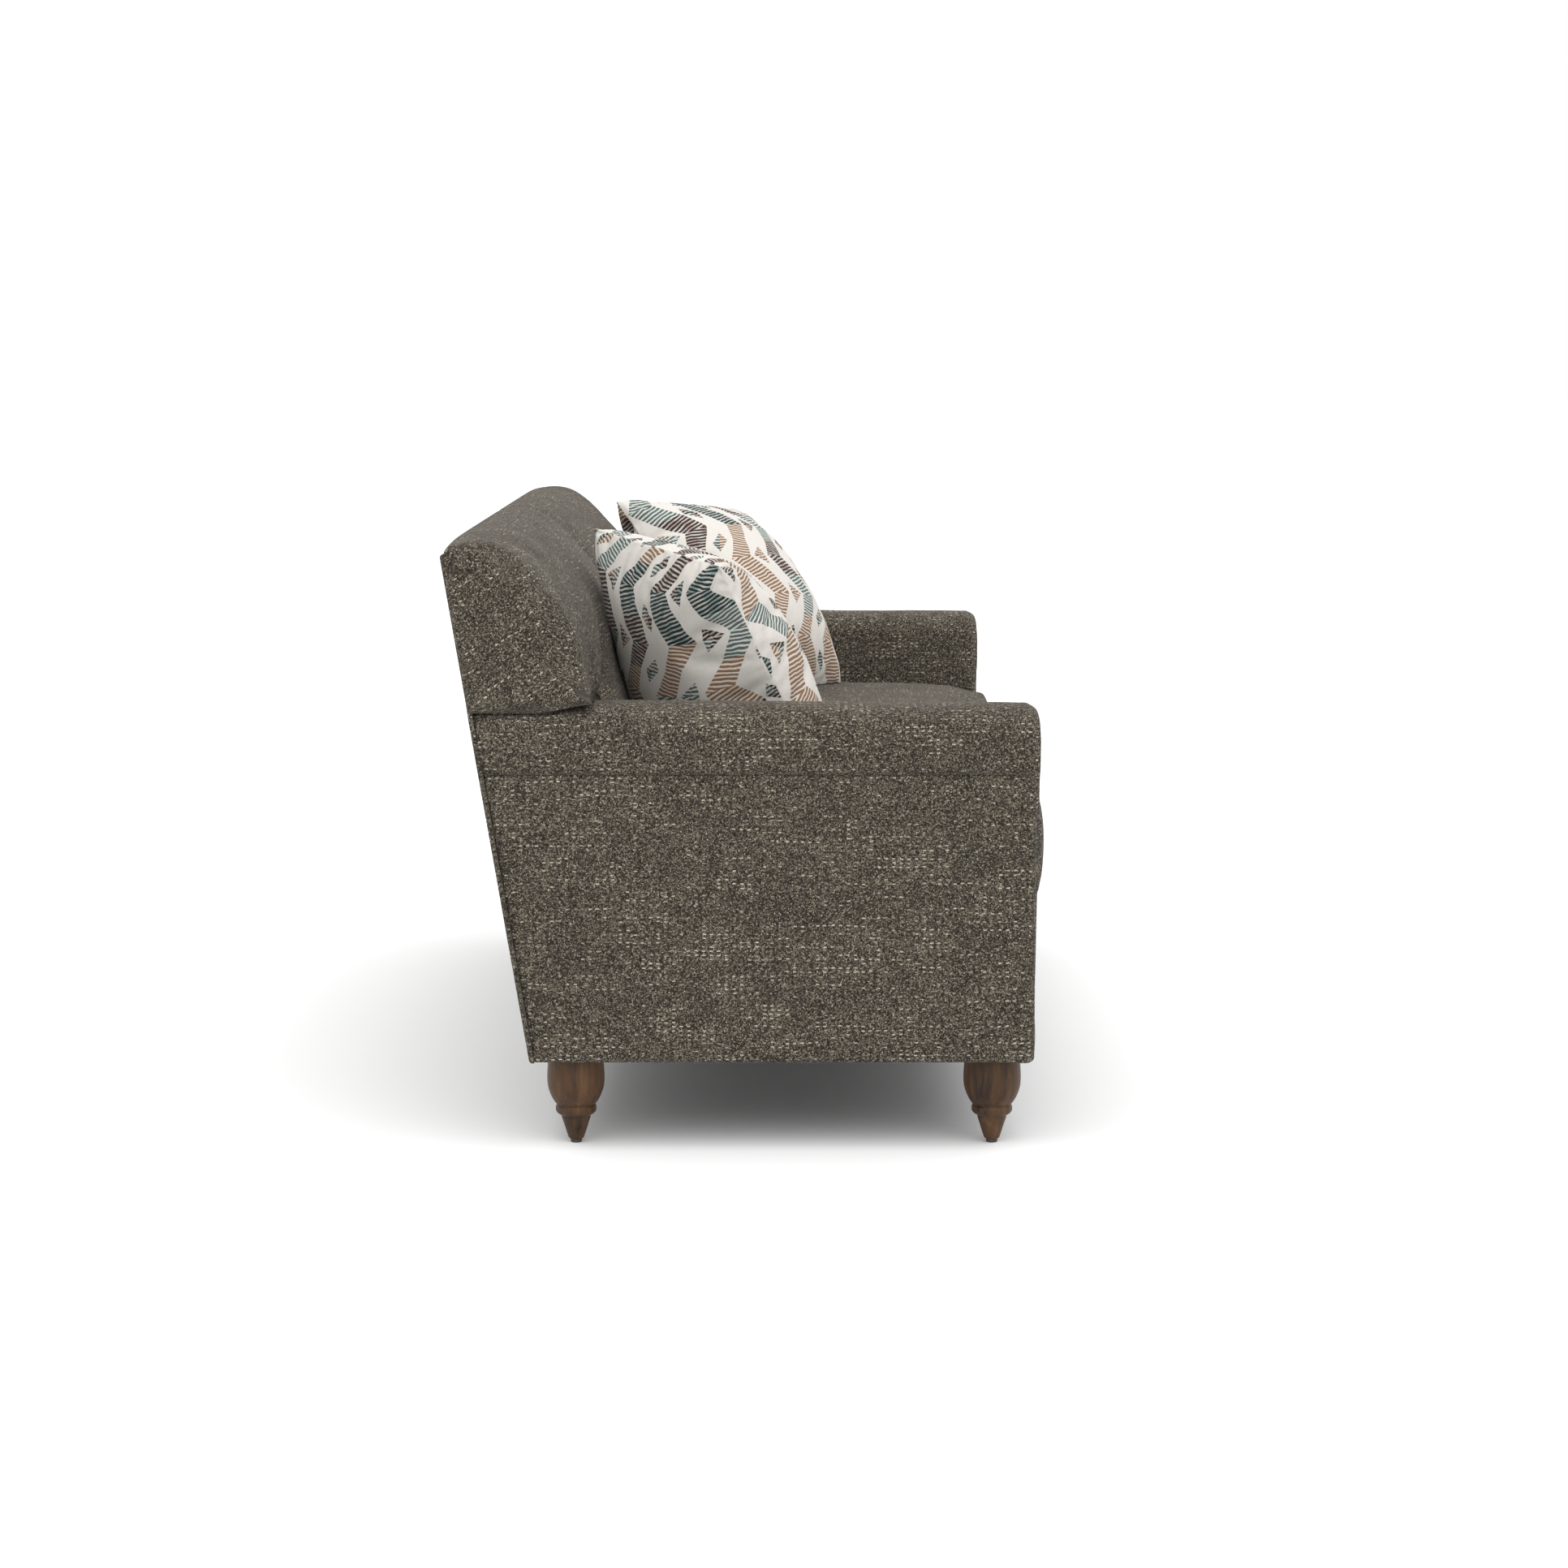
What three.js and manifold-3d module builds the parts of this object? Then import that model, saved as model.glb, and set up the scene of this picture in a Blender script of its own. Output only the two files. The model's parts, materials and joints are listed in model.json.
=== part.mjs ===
// English roll-arm sofa: a hardwood frame on four turned legs, zigzag-sprung seat,
// webbed and padded back in two crowned halves, rolled arms with a padded front facing,
// two loose seat cushions with zipped covers and two throw pillows.
// Millimetres. +Z is up, the front faces -Y, and left is the -X end, as seen from the front.
// The origin is on the floor at the middle of the sofa's footprint.
import * as THREE from "three";
import { mergeVertices } from "three/addons/utils/BufferGeometryUtils.js";
import Module from "manifold-3d";

const wasm = await Module();
wasm.setup();

// Overall sizes
const LENGTH = 1990;
const BASE_HEIGHT = 141;
const ARM_HEIGHT = 692;
const ARM_WIDTH = 148;
const ARM_FRONT = 388;
const SEAT_HEIGHT = 556;
const BACK_HEIGHT = 940;
const BACK_FOOT = 394;
const BACK_TOP = 525;
const BACK_REAR_DROP = 15;
const LEG_SPREAD = 652;
const LEG_INSET = 75;

// Fits
const GAP = 0.3;
const SLIP = 1;
const OVERRUN = 20;
const MERGE_TOLERANCE = 0.001;

// Timber
const TIMBER = 28;
const RAIL_TOP = 318;
const POST_DEPTH = 70;
const POST_TOP_DROP = 46;
const TOP_RAIL_HEIGHT = 90;
const LOWER_RAIL_HEIGHT = 70;
const LOWER_RAIL_RISE = 235;
const CROSS_RAIL_HEIGHT = 110;
const CENTRE_POST_WIDTH = 60;
const BLOCK_HEIGHT = 64;
const BLOCK_LENGTH = 76;

// Covers and padding
const DUST_COVER = 2.7;
const OUTSIDE_PANEL = 8;
const BACK_PANEL = 14;
const BACK_PANEL_INSET = 4;
const FACING = 25;
const FACING_ROUND = 22;
const APRON_SETBACK = 2;
const APRON_ROUND = 10;
const DECK_TOP = 373;
const DECK_THICKNESS = 22;
const EDGE_ROLL = 24;
const ARM_WALL = 25;
const ROLL_DROP = 103;
const ROLL_PROUD = 10;
const ROLL_SHOULDER = 52;
const ROLL_SQUARENESS = 2.5;
const ROLL_STEPS = 14;

// Inside back
const BACK_END_INSET = 2;
const BACK_END_ROUND = 9;
const BACK_SEAM_ROUND = 7;
const BACK_BASE = 222;
const BACK_CROWN = 45;
const BACK_CROWN_CLEAR = 4;
const BACK_CROWN_FULL_SHARE = 0.375;
const BACK_CROWN_RISE = 12;
const WEBBING = 2.4;
const WEB_MARGIN = 30;
const STRAP_WIDTH = 50;
const UPRIGHT_STRAPS = 10;
const LEVEL_STRAPS = 3;

// Seat cushions
const CUSHION_OVERHANG = 19;
const CUSHION_CROWN = 22;
const CUSHION_ROUND = 9;
const CUSHION_DRAW = 7;
const COVER_WALL = 3;
const ZIP_LENGTH = 640;
const ZIP_HEIGHT = 9;

// Throw pillows
const PILLOW_WIDTH = 460;
const PILLOW_HEIGHT = 440;
const PILLOW_THICKNESS = 240;
const PILLOW_SEAM = 6;
const PILLOW_DRAW = 20;
const PILLOW_FLANGE = 14;
const PILLOW_SLOT = 240;
const PILLOW_STEPS = 12;
const INSERT_STEPS = 8;
const INSERT_LEAN = 22;
const LEFT_PILLOW_FROM_ARM = 311;
const LEFT_PILLOW_FROM_BACK = 199;
const LEFT_PILLOW_SINK = 15;
const LEFT_PILLOW_TURN = { yaw: 25.2, lean: 30.6, roll: 5.4 };
const RIGHT_PILLOW_FROM_ARM = 332;
const RIGHT_PILLOW_FROM_BACK = 230;
const RIGHT_PILLOW_SINK = -14;
const RIGHT_PILLOW_TURN = { yaw: 24.1, lean: 37.4, roll: 6.5 };

// Legs
const LEG_TOP_RADIUS = 43;
const LEG_BULB_RADIUS = 45;
const LEG_NECK_RADIUS = 30;
const LEG_BEAD_RADIUS = 31.5;
const LEG_GROOVE_RADIUS = 23;
const LEG_ANKLE_RADIUS = 14.2;
const LEG_TIP_RADIUS = 11;
const LEG_BEAD_TOP = 61;
const LEG_BEAD_BOTTOM = 46;
const LEG_SIDES = 16;
const GLIDE_RADIUS = 9;
const GLIDE_HEIGHT = 6;
const NAIL_RADIUS = 1.6;
const NAIL_LENGTH = 14;
const PLATE_SIZE = 70;
const PLATE_HOLE_RADIUS = 5;
const BOLT_RADIUS = 4;
const BOLT_DOWN = 38;
const BOLT_UP = 46;

// Springs
const SPRING_WIRE = 3.4;
const SPRING_PITCH = 30;
const SPRING_SWING = 46;
const SPRINGS_PER_SIDE = 5;

// Worked out from the sizes above
const END = LENGTH / 2;
const ARM_INNER = END - ARM_WIDTH;
const PANEL_FACE = END - ROLL_PROUD;
const FRAME_FACE = PANEL_FACE - OUTSIDE_PANEL - GAP;
const POST_INNER = ARM_INNER + ARM_WALL + GAP;
const FRAME_FRONT = -ARM_FRONT + FACING + GAP;
const FRAME_BOTTOM = BASE_HEIGHT + DUST_COVER + GAP;
const ROLL_BOTTOM = ARM_HEIGHT - ROLL_DROP;
const LEG_X = END - LEG_INSET;
const LEG_Y = LEG_SPREAD / 2;
const BACK_TOP_HEIGHT = BACK_HEIGHT - BACK_REAR_DROP;
const BACK_CROWN_START = SEAT_HEIGHT + BACK_CROWN_CLEAR;
const BACK_CROWN_FULL = SEAT_HEIGHT + (BACK_HEIGHT - SEAT_HEIGHT) * BACK_CROWN_FULL_SHARE;
const BACK_RISE = BACK_TOP_HEIGHT - BASE_HEIGHT;
const RAKE = Math.atan2(BACK_TOP - BACK_FOOT, BACK_RISE);
const BACK_LENGTH = BACK_RISE / Math.cos(RAKE);
const POST_TOP = BACK_LENGTH - POST_TOP_DROP;
const FRAME_BACK = BACK_PANEL + GAP;
const FRAME_SIDE = FRAME_BACK + POST_DEPTH;
const REAR_RAIL_BACK = BACK_FOOT - FRAME_BACK - GAP;
const DECK_BOTTOM = DECK_TOP - DECK_THICKNESS;
const SPRING_ARCH = DECK_BOTTOM - RAIL_TOP - GAP - 2 * SPRING_WIRE;

const FABRIC = new THREE.MeshStandardMaterial({ color: 0x6b6459, roughness: 0.95, metalness: 0 });
const LINING = new THREE.MeshStandardMaterial({ color: 0x1d1c1b, roughness: 0.95, metalness: 0 });
const FOAM = new THREE.MeshStandardMaterial({ color: 0xe8dfc8, roughness: 1, metalness: 0 });
const PRINT = new THREE.MeshStandardMaterial({ color: 0xb9b3a6, roughness: 0.9, metalness: 0 });
const WALNUT = new THREE.MeshStandardMaterial({ color: 0x4a3222, roughness: 0.45, metalness: 0 });
const HARDWOOD = new THREE.MeshStandardMaterial({ color: 0xb89468, roughness: 0.7, metalness: 0 });
const STEEL = new THREE.MeshStandardMaterial({ color: 0x8d9095, roughness: 0.35, metalness: 1 });
const NYLON = new THREE.MeshStandardMaterial({ color: 0x2a2624, roughness: 0.5, metalness: 0 });

const sofa = new THREE.Group();

function add(parent, name, geometry, finish) {
  const mesh = new THREE.Mesh(geometry, finish);
  mesh.name = name;
  parent.add(mesh);
  return mesh;
}

// A closed geometry as a solid that can be joined and cut.
function solid(geometry) {
  const plain = geometry.clone();
  plain.deleteAttribute("normal");
  plain.deleteAttribute("uv");
  const merged = mergeVertices(plain, MERGE_TOLERANCE);
  const vertProperties = new Float32Array(merged.attributes.position.array);
  const triVerts = new Uint32Array(merged.index.array);
  return new wasm.Manifold(new wasm.Mesh({ numProp: 3, vertProperties, triVerts }));
}

function geometryOf(body) {
  const mesh = body.getMesh();
  const geometry = new THREE.BufferGeometry();
  const points = new Float32Array(mesh.vertProperties);
  geometry.setAttribute("position", new THREE.BufferAttribute(points, 3));
  geometry.setIndex(new THREE.BufferAttribute(new Uint32Array(mesh.triVerts), 1));
  geometry.computeVertexNormals();
  return geometry;
}

function cut(geometry, cutters) {
  return geometryOf(cutters.reduce((body, cutter) => body.subtract(solid(cutter)), solid(geometry)));
}

function join(geometries) {
  return geometryOf(geometries.slice(1).reduce((body, g) => body.add(solid(g)), solid(geometries[0])));
}

function slab(low, high) {
  const size = high.map((value, i) => value - low[i]);
  const middle = high.map((value, i) => (value + low[i]) / 2);
  return new THREE.BoxGeometry(...size).translate(...middle);
}

// A side outline of [y, z] points, carried along the sofa's length.
function alongLength(outline, x0, x1) {
  const shape = new THREE.Shape(outline.map(([y, z]) => new THREE.Vector2(y, z)));
  const turn = new THREE.Matrix4().makeBasis(
    new THREE.Vector3(0, 1, 0),
    new THREE.Vector3(0, 0, 1),
    new THREE.Vector3(1, 0, 0),
  );
  const geometry = new THREE.ExtrudeGeometry(shape, { depth: x1 - x0, bevelEnabled: false, steps: 1 });
  return geometry.applyMatrix4(turn).translate(x0, 0, 0);
}

// Outlines of equal length joined into one skin, with both ends closed.
// point(outlinePoint, station) gives the place of an outline's point.
function loft(given, stations, point) {
  const start = given[0].map(([p, q]) => new THREE.Vector2(p, q));
  const clockwise = THREE.ShapeUtils.isClockWise(start);
  const outlines = clockwise ? given.map((outline) => [...outline].reverse()) : given;
  const count = outlines[0].length;
  const positions = [];
  outlines.forEach((outline, i) =>
    outline.forEach((corner) => positions.push(...point(corner, stations[i]))),
  );
  const index = [];
  for (let i = 0; i + 1 < outlines.length; i += 1) {
    for (let j = 0; j < count; j += 1) {
      const a = i * count + j;
      const b = i * count + ((j + 1) % count);
      index.push(a, b, b + count, a, b + count, a + count);
    }
  }
  const ends = [0, outlines.length - 1];
  ends.forEach((i) => {
    const flat = outlines[i].map(([p, q]) => new THREE.Vector2(p, q));
    THREE.ShapeUtils.triangulateShape(flat, []).forEach(([a, b, c]) => {
      const face = i === 0 ? [c, b, a] : [a, b, c];
      index.push(...face.map((v) => v + i * count));
    });
  });
  return facingOut(positions, index);
}

// Turns a closed skin the right way out.
function facingOut(positions, index) {
  const corner = (i) => new THREE.Vector3().fromArray(positions, 3 * i);
  let volume = 0;
  for (let i = 0; i < index.length; i += 3) {
    volume += corner(index[i]).dot(corner(index[i + 1]).cross(corner(index[i + 2])));
  }
  const turned = volume < 0 ? [...index].reverse() : index;
  const geometry = new THREE.BufferGeometry();
  geometry.setAttribute("position", new THREE.Float32BufferAttribute(positions, 3));
  geometry.setIndex(turned);
  geometry.computeVertexNormals();
  return geometry;
}

// An outline drawn in by a distance along its own normals; the outline runs anticlockwise.
function drawnIn(outline, distance) {
  return outline.map(([x, y], i) => {
    const before = outline[(i + outline.length - 1) % outline.length];
    const after = outline[(i + 1) % outline.length];
    const along = new THREE.Vector2(after[0] - before[0], after[1] - before[1]).normalize();
    return [x - along.y * distance, y + along.x * distance];
  });
}

// A box whose skin is moved by a function of its three shares, each from -1 to 1.
function soft(segments, form) {
  const geometry = new THREE.BoxGeometry(2, 2, 2, ...segments);
  geometry.deleteAttribute("normal");
  geometry.deleteAttribute("uv");
  const merged = mergeVertices(geometry, MERGE_TOLERANCE);
  const place = merged.attributes.position;
  for (let i = 0; i < place.count; i += 1) {
    place.setXYZ(i, ...form(place.getX(i), place.getY(i), place.getZ(i)));
  }
  merged.computeVertexNormals();
  return merged;
}

// A turned piece from its outline of [radius, height] points, from the top down.
function lathe(profile, sides) {
  const points = profile.map(([radius, height]) => new THREE.Vector2(radius, height)).reverse();
  return new THREE.LatheGeometry(points, sides).rotateX(Math.PI / 2);
}

// The same skin, or its mirror image at the left end of the sofa.
function mirrored(geometry, side) {
  if (side > 0) return geometry;
  const copy = geometry.clone().scale(-1, 1, 1);
  const count = copy.attributes.position.count;
  const index = copy.index ? [...copy.index.array] : Array.from({ length: count }, (_, i) => i);
  copy.setIndex(index.reverse());
  copy.computeVertexNormals();
  return copy;
}

const SIDES = [
  ["left", -1],
  ["right", 1],
];
const ROWS = [
  ["front", -1],
  ["rear", 1],
];

// Legs

// The turned outline from the top down: a bulb, a bead, a groove and a tapered ankle.
function legProfile() {
  const top = BASE_HEIGHT - GAP;
  const neck = LEG_BEAD_TOP;
  const bulb = top - neck;
  const profile = [
    [0, top - BOLT_DOWN - GAP],
    [BOLT_RADIUS + GAP, top - BOLT_DOWN - GAP],
    [BOLT_RADIUS + GAP, top],
    [LEG_TOP_RADIUS, top],
  ];
  const bulbHeightShares = [0.2, 0.42, 0.54, 0.68, 0.8, 0.9];
  const bulbWidthShares = [0.91, 1, 0.97, 0.82, 0.65, 0.39];
  bulbHeightShares.forEach((share, i) => {
    const radius = LEG_NECK_RADIUS + (LEG_BULB_RADIUS - LEG_NECK_RADIUS) * bulbWidthShares[i];
    profile.push([radius, top - bulb * share]);
  });
  const bead = LEG_BEAD_TOP - LEG_BEAD_BOTTOM;
  const flare = LEG_GROOVE_RADIUS - LEG_TIP_RADIUS;
  const shoulderShare = 0.12;
  const waistShare = 0.72;
  profile.push(
    [LEG_NECK_RADIUS, neck],
    [LEG_BEAD_RADIUS, neck - bead / 3],
    [LEG_BEAD_RADIUS - bead / 6, neck - (2 * bead) / 3],
    [LEG_GROOVE_RADIUS + bead / 8, LEG_BEAD_BOTTOM],
    [LEG_GROOVE_RADIUS, LEG_BEAD_BOTTOM - bead / 5],
    [LEG_GROOVE_RADIUS - flare * shoulderShare, LEG_BEAD_BOTTOM - (2 * bead) / 3],
    [LEG_ANKLE_RADIUS, LEG_BEAD_BOTTOM - (LEG_BEAD_BOTTOM - GLIDE_HEIGHT) * waistShare - bead / 4],
    [LEG_TIP_RADIUS, GLIDE_HEIGHT + GAP],
    [NAIL_RADIUS + GAP, GLIDE_HEIGHT + GAP],
    [NAIL_RADIUS + GAP, GLIDE_HEIGHT + NAIL_LENGTH + GAP],
    [0, GLIDE_HEIGHT + NAIL_LENGTH + GAP],
  );
  return profile;
}

function glideProfile() {
  const lip = GLIDE_HEIGHT / 4;
  return [
    [0, GLIDE_HEIGHT + NAIL_LENGTH],
    [NAIL_RADIUS, GLIDE_HEIGHT + NAIL_LENGTH],
    [NAIL_RADIUS, GLIDE_HEIGHT],
    [GLIDE_RADIUS, GLIDE_HEIGHT],
    [GLIDE_RADIUS, lip],
    [GLIDE_RADIUS - lip, 0],
    [0, 0],
  ];
}

function legPlate() {
  const half = PLATE_SIZE / 2;
  const shape = new THREE.Shape();
  shape.moveTo(-half, -half).lineTo(half, -half).lineTo(half, half).lineTo(-half, half);
  shape.holes.push(new THREE.Path().absarc(0, 0, PLATE_HOLE_RADIUS, 0, 2 * Math.PI, true));
  return new THREE.ExtrudeGeometry(shape, { depth: DUST_COVER, bevelEnabled: false, curveSegments: 6 });
}

ROWS.forEach(([row, front]) => {
  SIDES.forEach(([side, end]) => {
    const corner = new THREE.Group();
    corner.position.set(end * LEG_X, front * LEG_Y, 0);
    sofa.add(corner);
    add(corner, `leg_${row}_${side}`, lathe(legProfile(), LEG_SIDES), WALNUT);
    add(corner, `glide_${row}_${side}`, lathe(glideProfile(), LEG_SIDES), NYLON);
    add(corner, `leg_plate_${row}_${side}`, legPlate(), STEEL).position.z = BASE_HEIGHT;
    const bolt = new THREE.CylinderGeometry(BOLT_RADIUS, BOLT_RADIUS, BOLT_DOWN + BOLT_UP, LEG_SIDES / 2);
    bolt.rotateX(Math.PI / 2);
    const boltMesh = add(corner, `hanger_bolt_${row}_${side}`, bolt, STEEL);
    boltMesh.position.z = BASE_HEIGHT - GAP - BOLT_DOWN + (BOLT_DOWN + BOLT_UP) / 2;
  });
});

// The back leans on a group whose Z runs up the rake and whose Y points out of the rear.
const back = new THREE.Group();
back.position.set(0, BACK_FOOT, BASE_HEIGHT);
back.rotation.x = -RAKE;
back.updateMatrix();
sofa.add(back);

const rearLine = (z, inset) => BACK_FOOT + (z - BASE_HEIGHT) * Math.tan(RAKE) - inset / Math.cos(RAKE);

// Seat frame

const POST_BACK = FRAME_FRONT + TIMBER;
add(
  sofa,
  "front_rail",
  slab([-POST_INNER + GAP, FRAME_FRONT, FRAME_BOTTOM], [POST_INNER - GAP, POST_BACK, RAIL_TOP]),
  HARDWOOD,
);
const SIDE_RAIL_INNER = FRAME_FACE - TIMBER;
const REAR_RAIL_FRONT = REAR_RAIL_BACK - TIMBER;
add(
  sofa,
  "rear_rail",
  slab(
    [-SIDE_RAIL_INNER + GAP, REAR_RAIL_FRONT, FRAME_BOTTOM],
    [SIDE_RAIL_INNER - GAP, REAR_RAIL_BACK, RAIL_TOP],
  ),
  HARDWOOD,
);
add(
  sofa,
  "seat_cross_rail",
  slab(
    [-TIMBER / 2, POST_BACK + GAP, FRAME_BOTTOM],
    [TIMBER / 2, REAR_RAIL_FRONT - GAP, FRAME_BOTTOM + CROSS_RAIL_HEIGHT],
  ),
  HARDWOOD,
);

// A rail along the arm whose rear end is sawn to the rake, against the back post.
function rakedRail(side, innerX, low, high) {
  const outline = [
    [POST_BACK + GAP, low],
    [rearLine(low, FRAME_SIDE + GAP), low],
    [rearLine(high, FRAME_SIDE + GAP), high],
    [POST_BACK + GAP, high],
  ];
  return mirrored(alongLength(outline, innerX, FRAME_FACE), side);
}

SIDES.forEach(([side, end]) => {
  add(sofa, `side_rail_${side}`, rakedRail(end, SIDE_RAIL_INNER, FRAME_BOTTOM, RAIL_TOP), HARDWOOD);
  add(
    sofa,
    `arm_rail_${side}`,
    rakedRail(end, POST_INNER + GAP, ROLL_BOTTOM - GAP - TIMBER, ROLL_BOTTOM - GAP),
    HARDWOOD,
  );
  const post = slab(
    [POST_INNER + GAP, FRAME_FRONT, FRAME_BOTTOM],
    [FRAME_FACE, POST_BACK, ROLL_BOTTOM - GAP],
  );
  add(sofa, `arm_post_${side}`, mirrored(post, end), HARDWOOD);
  ROWS.forEach(([row, front]) => {
    const y = front < 0 ? POST_BACK + GAP : REAR_RAIL_FRONT - GAP - BLOCK_LENGTH;
    const block = slab(
      [POST_INNER + GAP, y, FRAME_BOTTOM],
      [SIDE_RAIL_INNER - GAP, y + BLOCK_LENGTH, FRAME_BOTTOM + BLOCK_HEIGHT],
    );
    const hole = new THREE.CylinderGeometry(PLATE_HOLE_RADIUS, PLATE_HOLE_RADIUS, BOLT_UP * 2, LEG_SIDES / 2);
    hole.rotateX(Math.PI / 2).translate(LEG_X, front * LEG_Y, FRAME_BOTTOM);
    add(sofa, `corner_block_${row}_${side}`, mirrored(cut(block, [hole]), end), HARDWOOD);
  });
});

// Back frame, straight in the leaning group

const FRAME_FOOT = DUST_COVER + GAP;
SIDES.forEach(([side, end]) => {
  const post = slab([SIDE_RAIL_INNER, -FRAME_SIDE, FRAME_FOOT], [FRAME_FACE, -FRAME_BACK, POST_TOP]);
  add(back, `back_post_${side}`, mirrored(post, end), HARDWOOD);
});
const RAIL_HALF = SIDE_RAIL_INNER - GAP;
const BACK_RAIL_BACK = -FRAME_SIDE + TIMBER;
add(
  back,
  "back_top_rail",
  slab([-RAIL_HALF, -FRAME_SIDE, POST_TOP - TOP_RAIL_HEIGHT], [RAIL_HALF, BACK_RAIL_BACK, POST_TOP]),
  HARDWOOD,
);
add(
  back,
  "back_lower_rail",
  slab(
    [-RAIL_HALF, -FRAME_SIDE, LOWER_RAIL_RISE],
    [RAIL_HALF, BACK_RAIL_BACK, LOWER_RAIL_RISE + LOWER_RAIL_HEIGHT],
  ),
  HARDWOOD,
);
add(
  back,
  "back_centre_post",
  slab(
    [-CENTRE_POST_WIDTH / 2, -FRAME_SIDE, LOWER_RAIL_RISE + LOWER_RAIL_HEIGHT + GAP],
    [CENTRE_POST_WIDTH / 2, BACK_RAIL_BACK, POST_TOP - TOP_RAIL_HEIGHT - GAP],
  ),
  HARDWOOD,
);

// Straps over the back frame, stapled to the rails and posts and stitched where they cross.
function webbing() {
  const low = LOWER_RAIL_RISE + WEB_MARGIN / 2;
  const high = POST_TOP - WEB_MARGIN;
  const half = ARM_INNER - WEB_MARGIN;
  const front = -FRAME_SIDE - GAP - WEBBING;
  const rear = -FRAME_SIDE - GAP;
  const uprights = Array.from({ length: UPRIGHT_STRAPS }, (_, i) => {
    const x = -half + ((2 * half - STRAP_WIDTH) * i) / (UPRIGHT_STRAPS - 1);
    return slab([x, front, low], [x + STRAP_WIDTH, rear, high]);
  });
  const levels = Array.from({ length: LEVEL_STRAPS }, (_, i) => {
    const z = low + ((high - low - STRAP_WIDTH) * (i + 1 / 2)) / LEVEL_STRAPS;
    return slab([-half, front, z], [half, rear, z + STRAP_WIDTH]);
  });
  return join([...levels, ...uprights]);
}
add(back, "back_webbing", webbing(), LINING);
const PAD_BACK = FRAME_SIDE + GAP + WEBBING + GAP;

const OUTSIDE_HALF = END - BACK_PANEL_INSET;
add(back, "outside_back", slab([-OUTSIDE_HALF, -BACK_PANEL, 0], [OUTSIDE_HALF, 0, BACK_LENGTH]), FABRIC);

// Springs: each zigzag runs from the front rail to the rear rail, and two wires tie the row.

function springRow(end) {
  const wire = SPRING_WIRE / 2;
  const y0 = POST_BACK - TIMBER / 2;
  const y1 = REAR_RAIL_FRONT + TIMBER / 2;
  const turns = Math.round((y1 - y0) / SPRING_PITCH);
  const room = ARM_INNER - SPRING_SWING;
  const height = (share) => RAIL_TOP + GAP + wire + SPRING_ARCH * Math.sin(Math.PI * share);
  const square = [
    [-wire, -wire],
    [wire, -wire],
    [wire, wire],
    [-wire, wire],
  ];
  const bodies = [];
  for (let i = 0; i < SPRINGS_PER_SIDE; i += 1) {
    const middle = SPRING_SWING + (room * (i + 1 / 2)) / SPRINGS_PER_SIDE;
    const stations = [];
    for (let j = 0; j <= turns; j += 1) {
      const swing = (j % 2 ? 1 : -1) * (SPRING_SWING / 2);
      const share = j / turns;
      const spread = 1 / Math.sin(Math.atan2(SPRING_PITCH, SPRING_SWING));
      stations.push([middle + swing, y0 + (y1 - y0) * share, height(share), spread]);
    }
    const bend = ([p, q], [x, y, z, spread]) => [x + p * spread, y, z + q];
    bodies.push(loft(stations.map(() => square), stations, bend));
  }
  const tieShares = [1 / 3, 2 / 3];
  tieShares.forEach((share) => {
    const nearest = Math.round(share * turns) / turns;
    const y = y0 + (y1 - y0) * nearest;
    const z = height(nearest);
    bodies.push(slab([SPRING_SWING, y - wire, z - wire], [ARM_INNER - GAP, y + wire, z + wire]));
  });
  return mirrored(join(bodies), end);
}
SIDES.forEach(([side, end]) => add(sofa, `seat_springs_${side}`, springRow(end), STEEL));

// Deck, apron and dust cover

const DECK_FRONT = POST_BACK + EDGE_ROLL;
const APRON_FACE = -ARM_FRONT + APRON_SETBACK;
const DECK_BACK = BACK_BASE - GAP;
const apronOutline = [
  [APRON_FACE, BASE_HEIGHT],
  [FRAME_FRONT - GAP, BASE_HEIGHT],
  [FRAME_FRONT - GAP, RAIL_TOP + GAP],
  [POST_BACK - TIMBER / 2 - SPRING_WIRE - GAP, RAIL_TOP + GAP],
  [POST_BACK - TIMBER / 2 - SPRING_WIRE - GAP, DECK_BOTTOM],
  [DECK_FRONT - GAP, DECK_BOTTOM],
  [DECK_FRONT - GAP, DECK_TOP],
  [APRON_FACE + APRON_ROUND, DECK_TOP],
  [APRON_FACE + APRON_ROUND / 4, DECK_TOP - APRON_ROUND / 4],
  [APRON_FACE, DECK_TOP - APRON_ROUND],
];
add(sofa, "front_apron", alongLength(apronOutline, -ARM_INNER + GAP, ARM_INNER - GAP), FABRIC);
add(
  sofa,
  "seat_deck",
  slab([-ARM_INNER + GAP, DECK_FRONT, DECK_BOTTOM], [ARM_INNER - GAP, DECK_BACK, DECK_TOP]),
  LINING,
);

function dustCover() {
  const sheet = slab(
    [-FRAME_FACE, FRAME_FRONT, BASE_HEIGHT],
    [FRAME_FACE, REAR_RAIL_BACK - BACK_PANEL, BASE_HEIGHT + DUST_COVER],
  );
  const half = PLATE_SIZE / 2 + GAP;
  const holes = ROWS.flatMap(([, front]) =>
    SIDES.map(([, end]) => {
      const x = end * LEG_X;
      const y = front * LEG_Y;
      const low = BASE_HEIGHT - OVERRUN;
      return slab([x - half, y - half, low], [x + half, y + half, BASE_HEIGHT + OVERRUN]);
    }),
  );
  return cut(sheet, holes);
}
add(sofa, "dust_cover", dustCover(), LINING);

// Arms

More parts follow.
